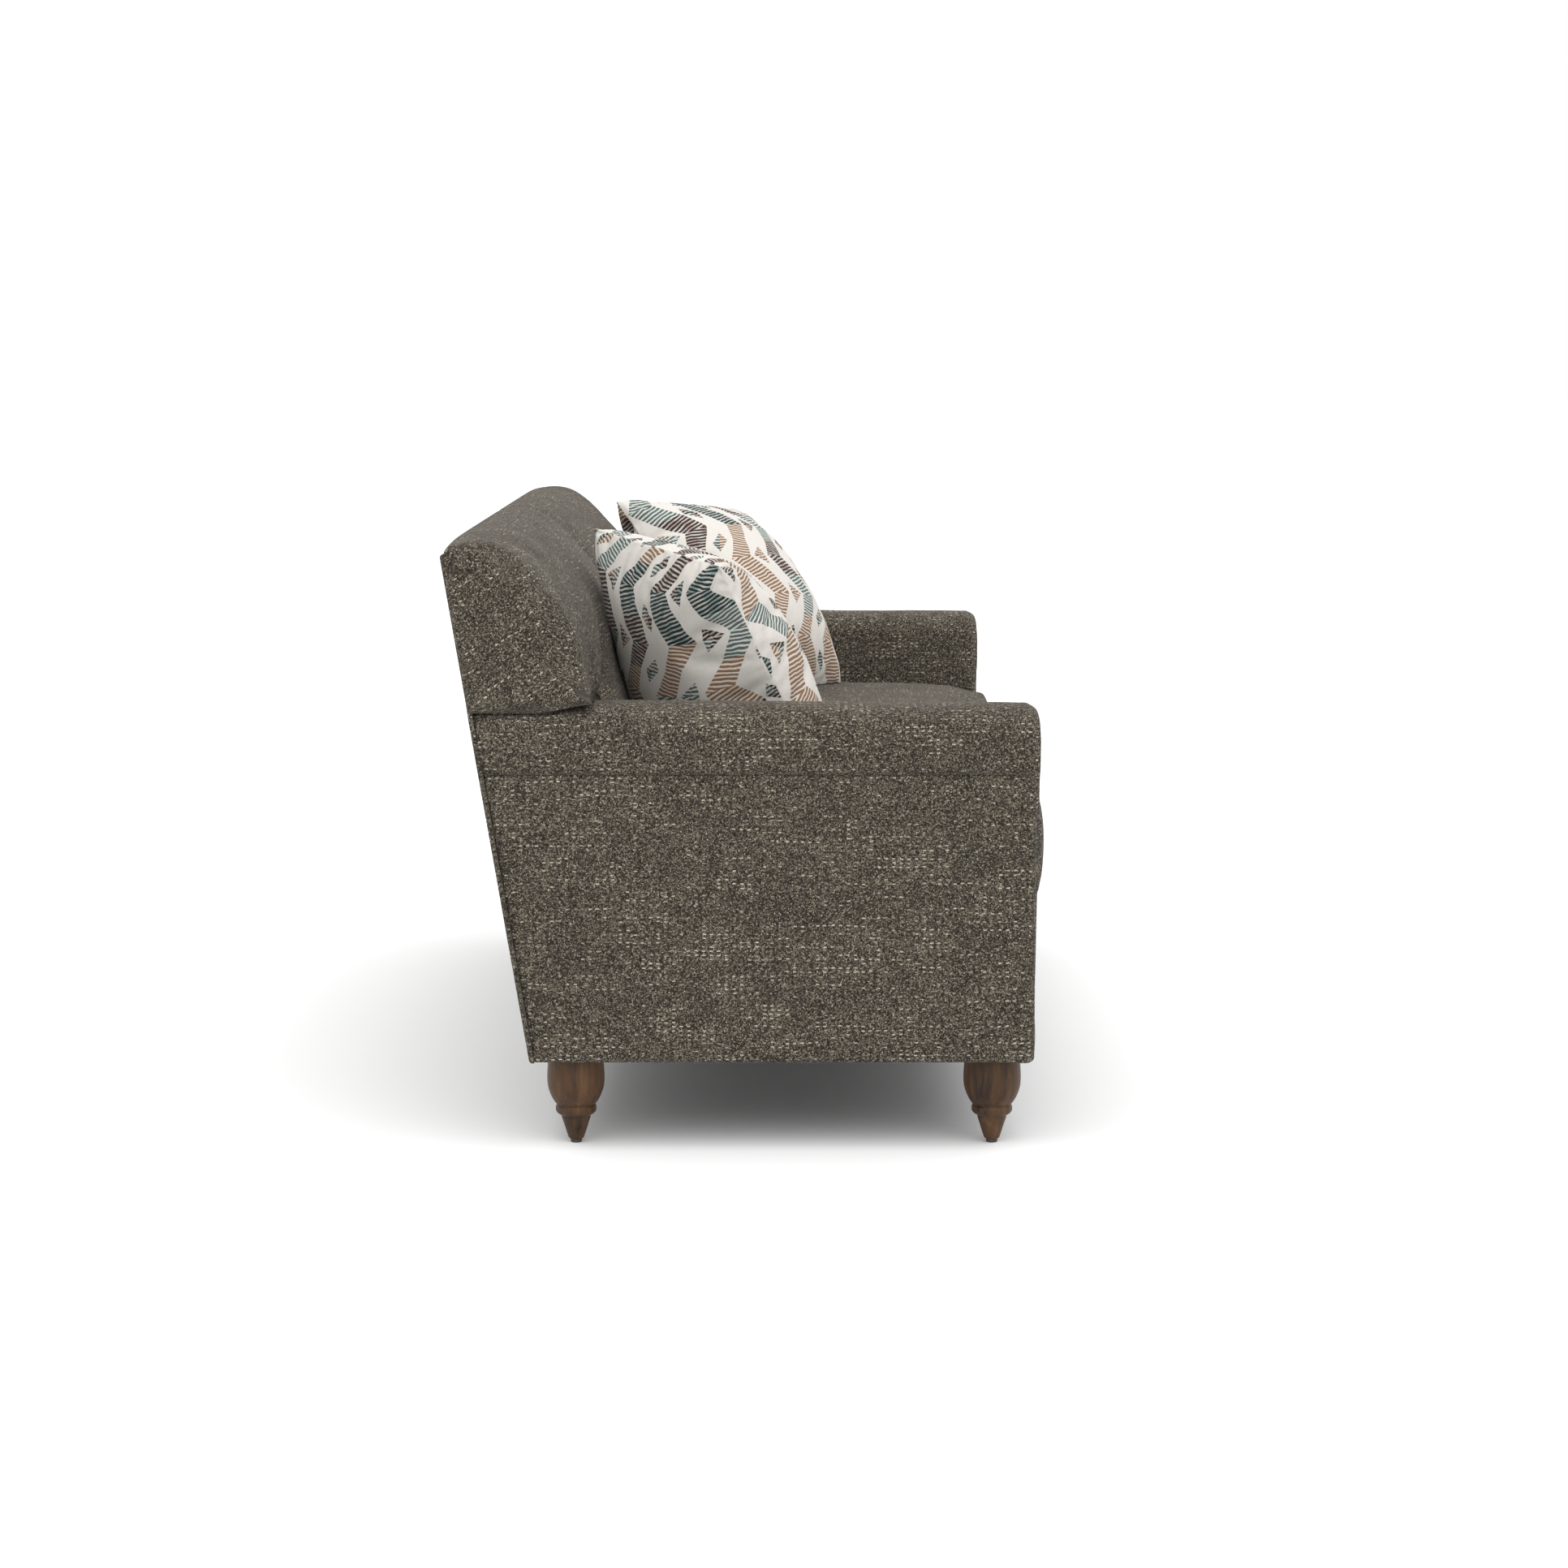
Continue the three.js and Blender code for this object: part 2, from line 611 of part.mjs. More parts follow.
// The rolled top from the inside face over to the underside, grown by a clearance.
function rollArc(grow) {
  const middle = ARM_INNER + ARM_WIDTH / 2;
  const halfWidth = ARM_WIDTH / 2 + grow;
  const shoulder = ARM_HEIGHT - ROLL_SHOULDER;
  const rise = ROLL_SHOULDER + grow;
  const points = [];
  for (let i = 0; i <= ROLL_STEPS; i += 1) {
    const angle = Math.PI - (Math.PI * i) / ROLL_STEPS;
    const sideways = Math.sign(Math.cos(angle)) * Math.abs(Math.cos(angle)) ** (2 / ROLL_SQUARENESS);
    const up = Math.abs(Math.sin(angle)) ** (2 / ROLL_SQUARENESS);
    points.push([middle + halfWidth * sideways, shoulder + rise * up]);
  }
  const tuckShares = [1 / 3, 2 / 3, 1];
  tuckShares.forEach((share) => {
    const turn = (Math.PI / 2) * share;
    const tucked = ROLL_PROUD * (1 - Math.cos(turn));
    points.push([END + grow - tucked, shoulder - (shoulder - ROLL_BOTTOM) * Math.sin(turn)]);
  });
  return points;
}

const across = ([x, z], y) => [x, y, z];
const rakedEnd = [
  [rearLine(BASE_HEIGHT - OVERRUN, FRAME_BACK), BASE_HEIGHT - OVERRUN],
  [rearLine(BACK_HEIGHT, FRAME_BACK), BACK_HEIGHT],
  [ARM_FRONT + LENGTH, BACK_HEIGHT],
  [ARM_FRONT + LENGTH, BASE_HEIGHT - OVERRUN],
];
const behindBack = () => alongLength(rakedEnd, -LENGTH, LENGTH);
const PAD_FRONT = -ARM_FRONT + FACING + GAP;

function postNotch() {
  const notch = slab(
    [SIDE_RAIL_INNER - GAP, -FRAME_SIDE - GAP, 0],
    [FRAME_FACE + GAP, OVERRUN, POST_TOP + GAP],
  );
  return notch.applyMatrix4(back.matrix);
}

// The room of a level rail of the back frame, from one height up the rake to another.
function backRailNotch(low, high) {
  const notch = slab(
    [ARM_INNER - OVERRUN, -FRAME_SIDE - GAP, low - GAP],
    [SIDE_RAIL_INNER, BACK_RAIL_BACK + GAP, high + GAP],
  );
  return notch.applyMatrix4(back.matrix);
}

function armPad() {
  const outline = [
    [POST_INNER, ROLL_BOTTOM],
    [POST_INNER, RAIL_TOP + GAP],
    [ARM_INNER, RAIL_TOP + GAP],
    ...rollArc(0),
  ];
  const long = loft([outline, outline], [PAD_FRONT, BACK_TOP], across);
  return cut(long, [
    behindBack(),
    postNotch(),
    backRailNotch(LOWER_RAIL_RISE, LOWER_RAIL_RISE + LOWER_RAIL_HEIGHT),
    backRailNotch(POST_TOP - TOP_RAIL_HEIGHT, POST_TOP),
  ]);
}

function outsideArm() {
  const outline = [
    [PAD_FRONT, BASE_HEIGHT],
    [rearLine(BASE_HEIGHT, FRAME_BACK), BASE_HEIGHT],
    [rearLine(ROLL_BOTTOM - GAP, FRAME_BACK), ROLL_BOTTOM - GAP],
    [PAD_FRONT, ROLL_BOTTOM - GAP],
  ];
  return alongLength(outline, PANEL_FACE - OUTSIDE_PANEL, PANEL_FACE);
}

// The padded front of an arm: its face is rounded over all round.
function armFacing() {
  const outline = [[PANEL_FACE, BASE_HEIGHT], [ARM_INNER, BASE_HEIGHT], ...rollArc(0)].reverse();
  const angles = [0, 1 / 4, 1 / 2, 3 / 4, 1].map((share) => (share * Math.PI) / 2);
  const outlines = angles.map((angle) => drawnIn(outline, FACING_ROUND * (1 - Math.sin(angle))));
  const stations = angles.map((angle) => -ARM_FRONT + FACING_ROUND * (1 - Math.cos(angle)));
  return loft([...outlines, outline], [...stations, -ARM_FRONT + FACING], across);
}

SIDES.forEach(([side, end]) => {
  add(sofa, `arm_pad_${side}`, mirrored(armPad(), end), FABRIC);
  add(sofa, `outside_arm_${side}`, mirrored(outsideArm(), end), FABRIC);
  add(sofa, `arm_front_${side}`, mirrored(armFacing(), end), FABRIC);
});

// Inside back: two padded halves that meet at the middle seam and lap over the arms

// How far each half swells, from nothing at its ends to full over its middle.
const swell = (share) => 1 - Math.abs(2 * share - 1) ** 3;

// The swell stays behind the foot of the back, so that all that rests against it lifts clear.
function backOutline(swelling) {
  const rear = rearLine(BACK_TOP_HEIGHT, FRAME_BACK);
  const depth = rear - BACK_BASE;
  const height = BACK_HEIGHT - BACK_CROWN_START;
  const depthShares = [0, 0.03, 0.09, 0.145, 0.2, 0.255, 0.34, 0.46, 0.56, 0.68, 0.79, 0.9];
  const heightShares = [0, 0.105, 0.21, 0.314, 0.396, 0.471, 0.593, 0.75, 0.842, 0.932, 0.984, 1];
  const outline = [
    [rear, BACK_TOP_HEIGHT],
    [rearLine(DECK_BOTTOM, FRAME_BACK), DECK_BOTTOM],
    [BACK_BASE, DECK_BOTTOM],
  ];
  depthShares.forEach((share, i) => {
    const z = BACK_CROWN_START + height * heightShares[i];
    const forward = THREE.MathUtils.smoothstep(z, BACK_CROWN_START, BACK_CROWN_FULL);
    const top = THREE.MathUtils.smoothstep(z, BACK_CROWN_FULL, BACK_HEIGHT);
    const swollen = BACK_CROWN * forward * (1 - top / 2) * swelling;
    const front = Math.max(BACK_BASE, BACK_BASE + depth * share - swollen);
    outline.push([front, z + BACK_CROWN_RISE * top * swelling]);
  });
  return outline.reverse();
}

function insideBack() {
  const seam = SLIP / 2;
  const end = END - BACK_END_INSET;
  const middleShares = [0.08, 0.18, 0.32, 0.5, 0.68, 0.82, 0.92];
  const stations = [
    seam,
    seam + BACK_SEAM_ROUND,
    ...middleShares.map((share) => seam + (end - seam) * share),
    end - BACK_END_ROUND,
    end - BACK_END_ROUND / 4,
    end,
  ];
  const insets = [BACK_SEAM_ROUND, 0, ...middleShares.map(() => 0), 0, BACK_END_ROUND / 4, BACK_END_ROUND];
  const outlines = stations.map((x, i) => {
    const share = (x - seam) / (end - seam);
    return drawnIn(backOutline(swell(share)), insets[i]);
  });
  return loft(outlines, stations, ([y, z], x) => [x, y, z]);
}

// The room that an arm takes beside and under the inside back.
function armRoom() {
  const low = BASE_HEIGHT - OVERRUN;
  const outline = [
    [END + OVERRUN, ARM_HEIGHT - ROLL_SHOULDER],
    [END + OVERRUN, low],
    [ARM_INNER - GAP, low],
    ...rollArc(GAP).filter(([, z]) => z >= ARM_HEIGHT - ROLL_SHOULDER),
  ];
  return loft([outline, outline], [0, BACK_TOP + OVERRUN], across);
}

function frameRoom() {
  const room = slab([-OVERRUN, -PAD_BACK, -OVERRUN], [FRAME_FACE + GAP, OVERRUN, POST_TOP + GAP]);
  return room.applyMatrix4(back.matrix);
}

const backPad = insideBack();
const backPadCut = cut(backPad, [armRoom(), frameRoom()]);
SIDES.forEach(([side, end]) => {
  add(sofa, `inside_back_${side}`, mirrored(backPadCut, end), FABRIC);
});

// Seat cushions: a zipped cover on a foam core

const CUSHION_HALF = (ARM_INNER - SLIP - SLIP / 2) / 2;
const CUSHION_MIDDLE = SLIP / 2 + CUSHION_HALF;
const CUSHION_FRONT = -ARM_FRONT - CUSHION_OVERHANG;
const CUSHION_REAR = BACK_BASE - SLIP;
const CUSHION_DEPTH_MIDDLE = (CUSHION_FRONT + CUSHION_REAR) / 2;
const CUSHION_HALF_DEPTH = (CUSHION_REAR - CUSHION_FRONT) / 2;
const CUSHION_BORDER_TOP = SEAT_HEIGHT - CUSHION_CROWN;
const CUSHION_BOTTOM = DECK_TOP + GAP;

// The edges are rounded, the seams draw in between the corners and the top is crowned.
function cushionForm(segments, shrink) {
  const low = CUSHION_BOTTOM + shrink;
  const high = CUSHION_BORDER_TOP - shrink;
  return soft(segments, (a, b, c) => {
    const edge = CUSHION_ROUND * c ** 4;
    const halfWidth = CUSHION_HALF - shrink - edge - CUSHION_DRAW * c * c * (1 - b * b);
    const halfDepth = CUSHION_HALF_DEPTH - shrink - edge / 2 - (CUSHION_DRAW / 2) * c * c * (1 - a * a);
    const crown = CUSHION_CROWN * (1 - a * a) * (1 - b * b) * ((c + 1) / 2);
    return [
      CUSHION_MIDDLE + a * halfWidth,
      CUSHION_DEPTH_MIDDLE + b * halfDepth,
      low + ((high - low) * (c + 1)) / 2 + crown,
    ];
  });
}

const COVER_SEGMENTS = [12, 10, 4];
const CORE_SEGMENTS = [6, 6, 4];
const cushionOuter = cushionForm(COVER_SEGMENTS, 0);
const zipMiddle = (CUSHION_BOTTOM + CUSHION_BORDER_TOP) / 2;

function zipSlab(margin, front, rear) {
  const halfLength = ZIP_LENGTH / 2 - margin;
  const halfHeight = ZIP_HEIGHT / 2 - margin;
  return slab(
    [CUSHION_MIDDLE - halfLength, front, zipMiddle - halfHeight],
    [CUSHION_MIDDLE + halfLength, rear, zipMiddle + halfHeight],
  );
}
const zipSlot = zipSlab(0, CUSHION_REAR - 2 * COVER_WALL, CUSHION_REAR + OVERRUN);
const cushionCover = cut(cushionOuter, [cushionForm(CORE_SEGMENTS, COVER_WALL), zipSlot]);
const cushionCore = cushionForm(CORE_SEGMENTS, COVER_WALL + GAP);
const cushionZip = zipSlab(GAP, CUSHION_REAR - COVER_WALL + GAP, CUSHION_REAR - GAP);

SIDES.forEach(([side, end]) => {
  add(sofa, `seat_cushion_cover_${side}`, mirrored(cushionCover, end), FABRIC);
  add(sofa, `seat_cushion_core_${side}`, mirrored(cushionCore, end), FOAM);
  add(sofa, `seat_cushion_zip_${side}`, mirrored(cushionZip, end), LINING);
});

// Throw pillows: two faces swell from a knife-edge seam that draws in between the corners

function pillowForm(steps, flange, wall) {
  const halfWidth = PILLOW_WIDTH / 2 - flange;
  const halfHeight = PILLOW_HEIGHT / 2 - flange;
  const seam = PILLOW_SEAM / 2 - (2 * wall) / 3;
  const loftHeight = PILLOW_THICKNESS / 2 - wall - seam;
  return soft([steps, 1, steps], (a, b, c) => {
    const u = Math.sin((a * Math.PI) / 2);
    const v = Math.sin((c * Math.PI) / 2);
    const plump = Math.cos((a * Math.PI) / 2) * Math.cos((c * Math.PI) / 2);
    return [
      u * (halfWidth - PILLOW_DRAW * (1 - v * v)),
      b * (seam + loftHeight * plump),
      PILLOW_HEIGHT / 2 + v * (halfHeight - PILLOW_DRAW * (1 - u * u)),
    ];
  });
}

function pillowPlace({ fromArm, fromBack, sink, yaw, lean, roll }) {
  const turn = (axis, degrees) =>
    new THREE.Matrix4().makeRotationAxis(axis, THREE.MathUtils.degToRad(degrees));
  return new THREE.Matrix4()
    .makeTranslation(ARM_INNER - fromArm, BACK_BASE - fromBack, SEAT_HEIGHT - sink)
    .multiply(turn(new THREE.Vector3(0, 0, 1), -yaw))
    .multiply(turn(new THREE.Vector3(1, 0, 0), -lean))
    .multiply(turn(new THREE.Vector3(0, 1, 0), roll));
}

// The seat cushion's room under a pillow that rests on it.
const seatRoom = (clearance) => cushionOuter.clone().translate(0, 0, clearance);

// A cover is hollowed where it leans on the back.
const backRoom = (clearance) => backPad.clone().translate(0, -clearance, 0);

// The fill inside is pressed flat along a leaning plane that just clears the back's swell.
function leaningPlane(clearance) {
  const slope = Math.tan(THREE.MathUtils.degToRad(INSERT_LEAN));
  const foot = Math.min(...backOutline(1).map(([y, z]) => y - z * slope)) - clearance * Math.hypot(1, slope);
  const outline = [
    [foot, 0],
    [foot + BACK_HEIGHT, 0],
    [foot + BACK_HEIGHT + BACK_HEIGHT * slope, BACK_HEIGHT + OVERRUN],
    [foot + (BACK_HEIGHT + OVERRUN) * slope, BACK_HEIGHT + OVERRUN],
  ];
  return alongLength(outline, -LENGTH, LENGTH);
}

function throwPillow(side, end, fromArm, fromBack, sink, turn) {
  const matrix = pillowPlace({ fromArm, fromBack, sink, ...turn });
  const placed = (geometry) => geometry.applyMatrix4(matrix);
  const fill = (flange, wall) => {
    const form = placed(pillowForm(INSERT_STEPS, flange, wall));
    return cut(form, [seatRoom(wall + GAP), leaningPlane(wall)]);
  };
  const slotTop = PILLOW_DRAW + PILLOW_FLANGE + Math.max(sink, 0) + OVERRUN;
  const slot = slab([-PILLOW_SLOT / 2, -GAP, -OVERRUN], [PILLOW_SLOT / 2, GAP, slotTop]);
  const outer = cut(placed(pillowForm(PILLOW_STEPS, 0, 0)), [seatRoom(GAP), backRoom(GAP)]);
  const cover = cut(outer, [fill(PILLOW_FLANGE, COVER_WALL), placed(slot)]);
  const insert = fill(PILLOW_FLANGE + GAP, COVER_WALL + GAP);
  add(sofa, `pillow_cover_${side}`, mirrored(cover, end), PRINT);
  add(sofa, `pillow_insert_${side}`, mirrored(insert, end), FOAM);
}

throwPillow(
  "left",
  -1,
  LEFT_PILLOW_FROM_ARM,
  LEFT_PILLOW_FROM_BACK,
  LEFT_PILLOW_SINK,
  LEFT_PILLOW_TURN,
);
throwPillow(
  "right",
  1,
  RIGHT_PILLOW_FROM_ARM,
  RIGHT_PILLOW_FROM_BACK,
  RIGHT_PILLOW_SINK,
  RIGHT_PILLOW_TURN,
);

// The origin goes to the middle of the footprint.
const footprint = new THREE.Box3().setFromObject(sofa);
sofa.position.y = -(footprint.min.y + footprint.max.y) / 2;

export default sofa;
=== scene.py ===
"""A two-seat English roll-arm sofa in tweed, with turned walnut legs and two printed throw pillows.

Metres. +X runs along the sofa, the front faces -Y and +Z is up.
"""
import json
import logging
import math
from dataclasses import dataclass, field
from typing import Any, Callable, ClassVar

import bmesh
import bpy
import numpy as np
from mathutils import Matrix, Vector


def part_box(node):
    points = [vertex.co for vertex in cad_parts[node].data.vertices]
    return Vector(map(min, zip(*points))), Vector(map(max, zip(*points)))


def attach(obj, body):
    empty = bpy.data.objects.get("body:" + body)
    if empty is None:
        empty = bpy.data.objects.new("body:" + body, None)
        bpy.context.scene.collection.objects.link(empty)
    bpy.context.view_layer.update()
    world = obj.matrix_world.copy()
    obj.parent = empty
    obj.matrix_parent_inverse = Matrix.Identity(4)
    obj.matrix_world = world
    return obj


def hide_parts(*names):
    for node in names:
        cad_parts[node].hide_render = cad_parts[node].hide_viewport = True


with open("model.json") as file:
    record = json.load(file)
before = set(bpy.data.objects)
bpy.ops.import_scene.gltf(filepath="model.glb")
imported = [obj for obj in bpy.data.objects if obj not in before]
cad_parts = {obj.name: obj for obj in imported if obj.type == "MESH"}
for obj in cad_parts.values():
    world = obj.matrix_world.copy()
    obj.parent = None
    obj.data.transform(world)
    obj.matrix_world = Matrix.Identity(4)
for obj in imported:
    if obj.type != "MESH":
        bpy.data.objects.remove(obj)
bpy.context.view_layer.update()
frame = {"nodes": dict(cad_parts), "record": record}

LOG = logging.getLogger("sofa")
Array = np.ndarray

SIDES = {"left": -1.0, "right": 1.0}
ROWS = {"front": -1.0, "rear": 1.0}


# Sizes that more than one sub-assembly shares

@dataclass(frozen=True)
class SofaSizes:
    """Sizes of the upholstered shell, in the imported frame."""

    half_length: float = 0.995
    base: float = 0.1385
    arm_inner: float = 0.847
    arm_middle: float = 0.921
    arm_half: float = 0.074
    arm_top: float = 0.692
    shoulder: float = 0.640
    roll_bottom: float = 0.589
    roll_proud: float = 0.010
    squareness: float = 2.5
    arm_front: float = -0.447
    facing: float = 0.025
    back_foot: float = 0.335
    back_top: float = 0.466
    back_top_height: float = 0.925
    back_base: float = 0.163
    back_height: float = 0.940
    deck_top: float = 0.373
    deck_bottom: float = 0.351
    seat: float = 0.556
    skin: float = 0.0075

    @property
    def rake(self) -> float:
        """The back's lean from upright, in radians."""
        return math.atan2(self.back_top - self.back_foot, self.back_top_height - self.base)

    def rear_line(self, z: Array | float, inset: float) -> Array | float:
        """Y of the raked rear face at a height, drawn in by an inset square to it."""
        return self.back_foot + (z - self.base) * math.tan(self.rake) - inset / math.cos(self.rake)

    def roll_height(self, x: Array) -> Array:
        """Height of the rolled arm's skin at a distance from the middle: a superellipse over the shoulder."""
        across = np.clip(np.abs(x - self.arm_middle) / self.arm_half, 0.0, 1.0)
        rise = (1.0 - across ** self.squareness) ** (1.0 / self.squareness)
        return self.shoulder + (self.arm_top - self.shoulder) * rise


SOFA = SofaSizes()


# Numpy helpers

def smoothstep(value: Array | float, low: float, high: float) -> Array:
    """0 below low, 1 above high, and a smooth cubic between them."""
    t = np.clip((np.asarray(value) - low) / (high - low), 0.0, 1.0)
    return t * t * (3.0 - 2.0 * t)


def smooth_path(points: Array, count: int) -> Array:
    """Evenly spaced points on a Catmull-Rom curve.

    Each span is the cubic whose end slopes are half the difference of the neighbours on either side.

    Args:
        points: the curve's knots, one row each.
        count: how many points to give back.

    Returns:
        The points, spaced evenly by length.
    """
    knots = np.vstack([2 * points[0] - points[1], points, 2 * points[-1] - points[-2]])
    spans = len(points) - 1
    t = np.linspace(0.0, spans, spans * 24 + 1)
    i = np.minimum(t.astype(int), spans - 1)
    f = (t - i)[:, None]
    a, b, c, d = (knots[i + k] for k in range(4))
    dense = 0.5 * (2 * b + (c - a) * f + (2 * a - 5 * b + 4 * c - d) * f ** 2 + (3 * b - a - 3 * c + d) * f ** 3)
    return resample(dense, count)


def resample(points: Array, count: int) -> Array:
    """The same polyline with evenly spaced points, by linear interpolation on its length."""
    length = lengths(points)
    at = np.linspace(0.0, length[-1], count)
    return np.stack([np.interp(at, length, column) for column in points.T], axis=1)


def lengths(points: Array) -> Array:
    """The running length along a polyline, from 0 at its first point."""
    steps = np.linalg.norm(np.diff(points, axis=0), axis=1)
    return np.concatenate([[0.0], np.cumsum(steps)])


def ripple(points: Array, seed: int, wavelength: float, waves: int = 7) -> Array:
    """Soft unevenness: the mean of plane sine waves with seeded directions and phases.

    Args:
        points: places, with three numbers on the last axis.
        seed: makes the same waves each run.
        wavelength: the mean distance from crest to crest.
        waves: how many sine waves are added.

    Returns:
        A value near 0 for each place, mostly between -1 and 1.
    """
    rng = np.random.default_rng(seed)
    direction = rng.normal(size=(waves, 3))
    direction /= np.linalg.norm(direction, axis=1, keepdims=True)
    number = 2 * math.pi / (wavelength * rng.uniform(0.7, 1.5, waves))
    phase = rng.uniform(0, 2 * math.pi, waves)
    return np.sin(points @ (direction * number[:, None]).T + phase).mean(axis=-1) * math.sqrt(waves) / 1.6


def measured(points: Array, axis: int) -> Array:
    """The length along each line of a grid, from 0 at its middle."""
    steps = np.linalg.norm(np.diff(points, axis=axis), axis=-1)
    total = np.cumsum(np.insert(steps, 0, 0.0, axis=axis), axis=axis)
    return total - np.take(total, [points.shape[axis] // 2], axis=axis)


def turned(points: Array, degrees: float) -> Array:
    """Flat points turned about the origin."""
    c, s = math.cos(math.radians(degrees)), math.sin(math.radians(degrees))
    return points @ np.array([[c, s], [-s, c]])


def spaced(*parts: tuple[float, float, int]) -> Array:
    """Stations along a line, as runs of (from, to, steps) that join end to end."""
    runs = [np.linspace(a, b, n, endpoint=False) for a, b, n in parts]
    return np.concatenate([*runs, [parts[-1][1]]])


# Meshes

@dataclass
class Patch:
    """A grid of points with the cloth's own coordinates, both in metres."""

    points: Array
    cloth: Array

    def corners(self, start: int) -> Array:
        """The four corners of each cell as indices, one row a cell."""
        rows, columns = self.points.shape[:2]
        index = np.arange(rows * columns).reshape(rows, columns) + start
        return np.stack([index[:-1, :-1], index[:-1, 1:], index[1:, 1:], index[1:, :-1]], axis=-1).reshape(-1, 4)


class Skin:
    """A closed surface sewn from patches that share their edges."""

    WELD: ClassVar[float] = 2e-5

    def __init__(self, name: str, side: float = 1.0) -> None:
        """Starts an empty surface.

        Args:
            name: the piece's name.
            side: -1 mirrors the piece to the sofa's left end.
        """
        self.name = name
        self.side = side
        self.patches: list[Patch] = []
        self.caps: list[tuple[Array, Array]] = []

    def patch(self, points: Array, cloth: Array) -> "Skin":
        """Adds a grid of points with its cloth coordinates."""
        self.patches.append(Patch(points, np.broadcast_to(cloth, points.shape[:2] + (2,))))
        return self

    def cap(self, ring: Array, cloth: Array | None = None) -> "Skin":
        """Closes a small hole whose rim is a ring of points, with their cloth coordinates or else their Y and Z."""
        self.caps.append((ring, ring[:, 1:] if cloth is None else cloth))
        return self

    def build(self) -> bpy.types.Object:
        """Welds the patches, makes the mesh and turns its faces outwards.

        Returns:
            The new object, at the origin, with a UV map named cloth.
        """
        points = np.concatenate([p.points.reshape(-1, 3) for p in self.patches] + [ring for ring, _ in self.caps])
        points = points * [self.side, 1.0, 1.0]
        cloth = np.concatenate([p.cloth.reshape(-1, 2) for p in self.patches] + [flat for _, flat in self.caps])
        starts = np.cumsum([0] + [p.points.shape[0] * p.points.shape[1] for p in self.patches])
        quads = np.concatenate([p.corners(s) for p, s in zip(self.patches, starts)])
        _, first, weld = np.unique(np.round(points / self.WELD), axis=0, return_index=True, return_inverse=True)
        weld = weld.reshape(-1)
        welded = weld[quads]
        keep = welded != np.roll(welded, -1, axis=1)
        sides = keep.sum(axis=1)
        keep &= (sides >= 3)[:, None]
        loop_source = [quads[keep]]
        totals = [sides[sides >= 3]]
        at = starts[-1]
        for ring, _ in self.caps:
            loop_source.append(np.arange(at, at + len(ring)))
            totals.append(np.array([len(ring)]))
            at += len(ring)
        source = np.concatenate(loop_source)
        total = np.concatenate(totals)
        mesh = bpy.data.meshes.new(self.name)
        mesh.vertices.add(len(first))
        mesh.vertices.foreach_set("co", points[first].ravel())
        mesh.loops.add(len(source))
        mesh.loops.foreach_set("vertex_index", weld[source])
        mesh.polygons.add(len(total))
        mesh.polygons.foreach_set("loop_start", np.concatenate([[0], np.cumsum(total)[:-1]]))
        mesh.polygons.foreach_set("use_smooth", np.ones(len(total), dtype=bool))
        mesh.update(calc_edges=True)
        mesh.uv_layers.new(name="cloth").data.foreach_set("uv", cloth[source].ravel())
        mesh.validate()
        face_out(mesh)
        piece = bpy.data.objects.new(self.name, mesh)
        bpy.context.scene.collection.objects.link(piece)
        return piece


def face_out(mesh: bpy.types.Mesh) -> None:
    """Turns a closed mesh's faces outwards: all one way, then about if the signed volume is negative."""
    work = bmesh.new()
    work.from_mesh(mesh)
    bmesh.ops.recalc_face_normals(work, faces=work.faces)
    if work.calc_volume(signed=True) < 0:
        bmesh.ops.reverse_faces(work, faces=work.faces)
    work.to_mesh(mesh)
    work.free()


def places(piece: bpy.types.Object) -> Array:
    """The piece's vertices, one row each."""
    flat = np.empty(len(piece.data.vertices) * 3)
    piece.data.vertices.foreach_get("co", flat)
    return flat.reshape(-1, 3)


def move_to(piece: bpy.types.Object, points: Array) -> None:
    """Puts the piece's vertices at new places."""
    piece.data.vertices.foreach_set("co", np.ascontiguousarray(points).ravel())
    piece.data.update()


def settled(piece: bpy.types.Object) -> Array:
    """The vertices with the piece's modifiers at work, one row each."""
    shaped = piece.evaluated_get(bpy.context.evaluated_depsgraph_get())
    mesh = shaped.to_mesh()
    flat = np.empty(len(mesh.vertices) * 3)
    mesh.vertices.foreach_get("co", flat)
    shaped.to_mesh_clear()
    return flat.reshape(-1, 3)


@dataclass(frozen=True)
class Stuffing:
    """How a sewn case is filled: cloth simulation with pressure and no gravity."""

    pressure: float = 4.0
    frames: int = 20
    cap: float = 0.010
    growth: float = 0.0
    stiffness: float = 15.0
    bending: float = 0.5

    def fill(self, piece: bpy.types.Object, pinned: Array) -> None:
        """Blows the piece up from inside, with its seams held.

        Args:
            piece: the sewn case, which becomes the filled one.
            pinned: how firmly each vertex is held, from 0 to 1.
        """
        group = piece.vertex_groups.new(name="seams")
        for level in (1.0, 0.5):
            chosen = np.nonzero(np.isclose(pinned, level))[0]
            group.add(chosen.tolist(), level, "REPLACE")
        start = places(piece)
        cloth = piece.modifiers.new("filling", "CLOTH")
        rules = cloth.settings
        rules.quality = 5
        rules.mass = 0.3
        rules.tension_stiffness = rules.compression_stiffness = self.stiffness
        rules.shear_stiffness = self.stiffness / 3
        rules.bending_stiffness = self.bending
        rules.use_pressure = True
        rules.uniform_pressure_force = self.pressure
        rules.shrink_min = -self.growth
        rules.vertex_group_mass = "seams"
        rules.effector_weights.gravity = 0.0
        cloth.collision_settings.use_collision = False
        cloth.point_cache.frame_start = 1
        cloth.point_cache.frame_end = self.frames
        for moment in range(1, self.frames + 1):
            bpy.context.scene.frame_set(moment)
        moved = settled(piece) - start
        piece.modifiers.clear()
        piece.vertex_groups.clear()
        bpy.context.scene.frame_set(1)
        reach = np.linalg.norm(moved, axis=1, keepdims=True)
        move_to(piece, start + moved * np.minimum(1.0, self.cap / np.maximum(reach, 1e-9)))


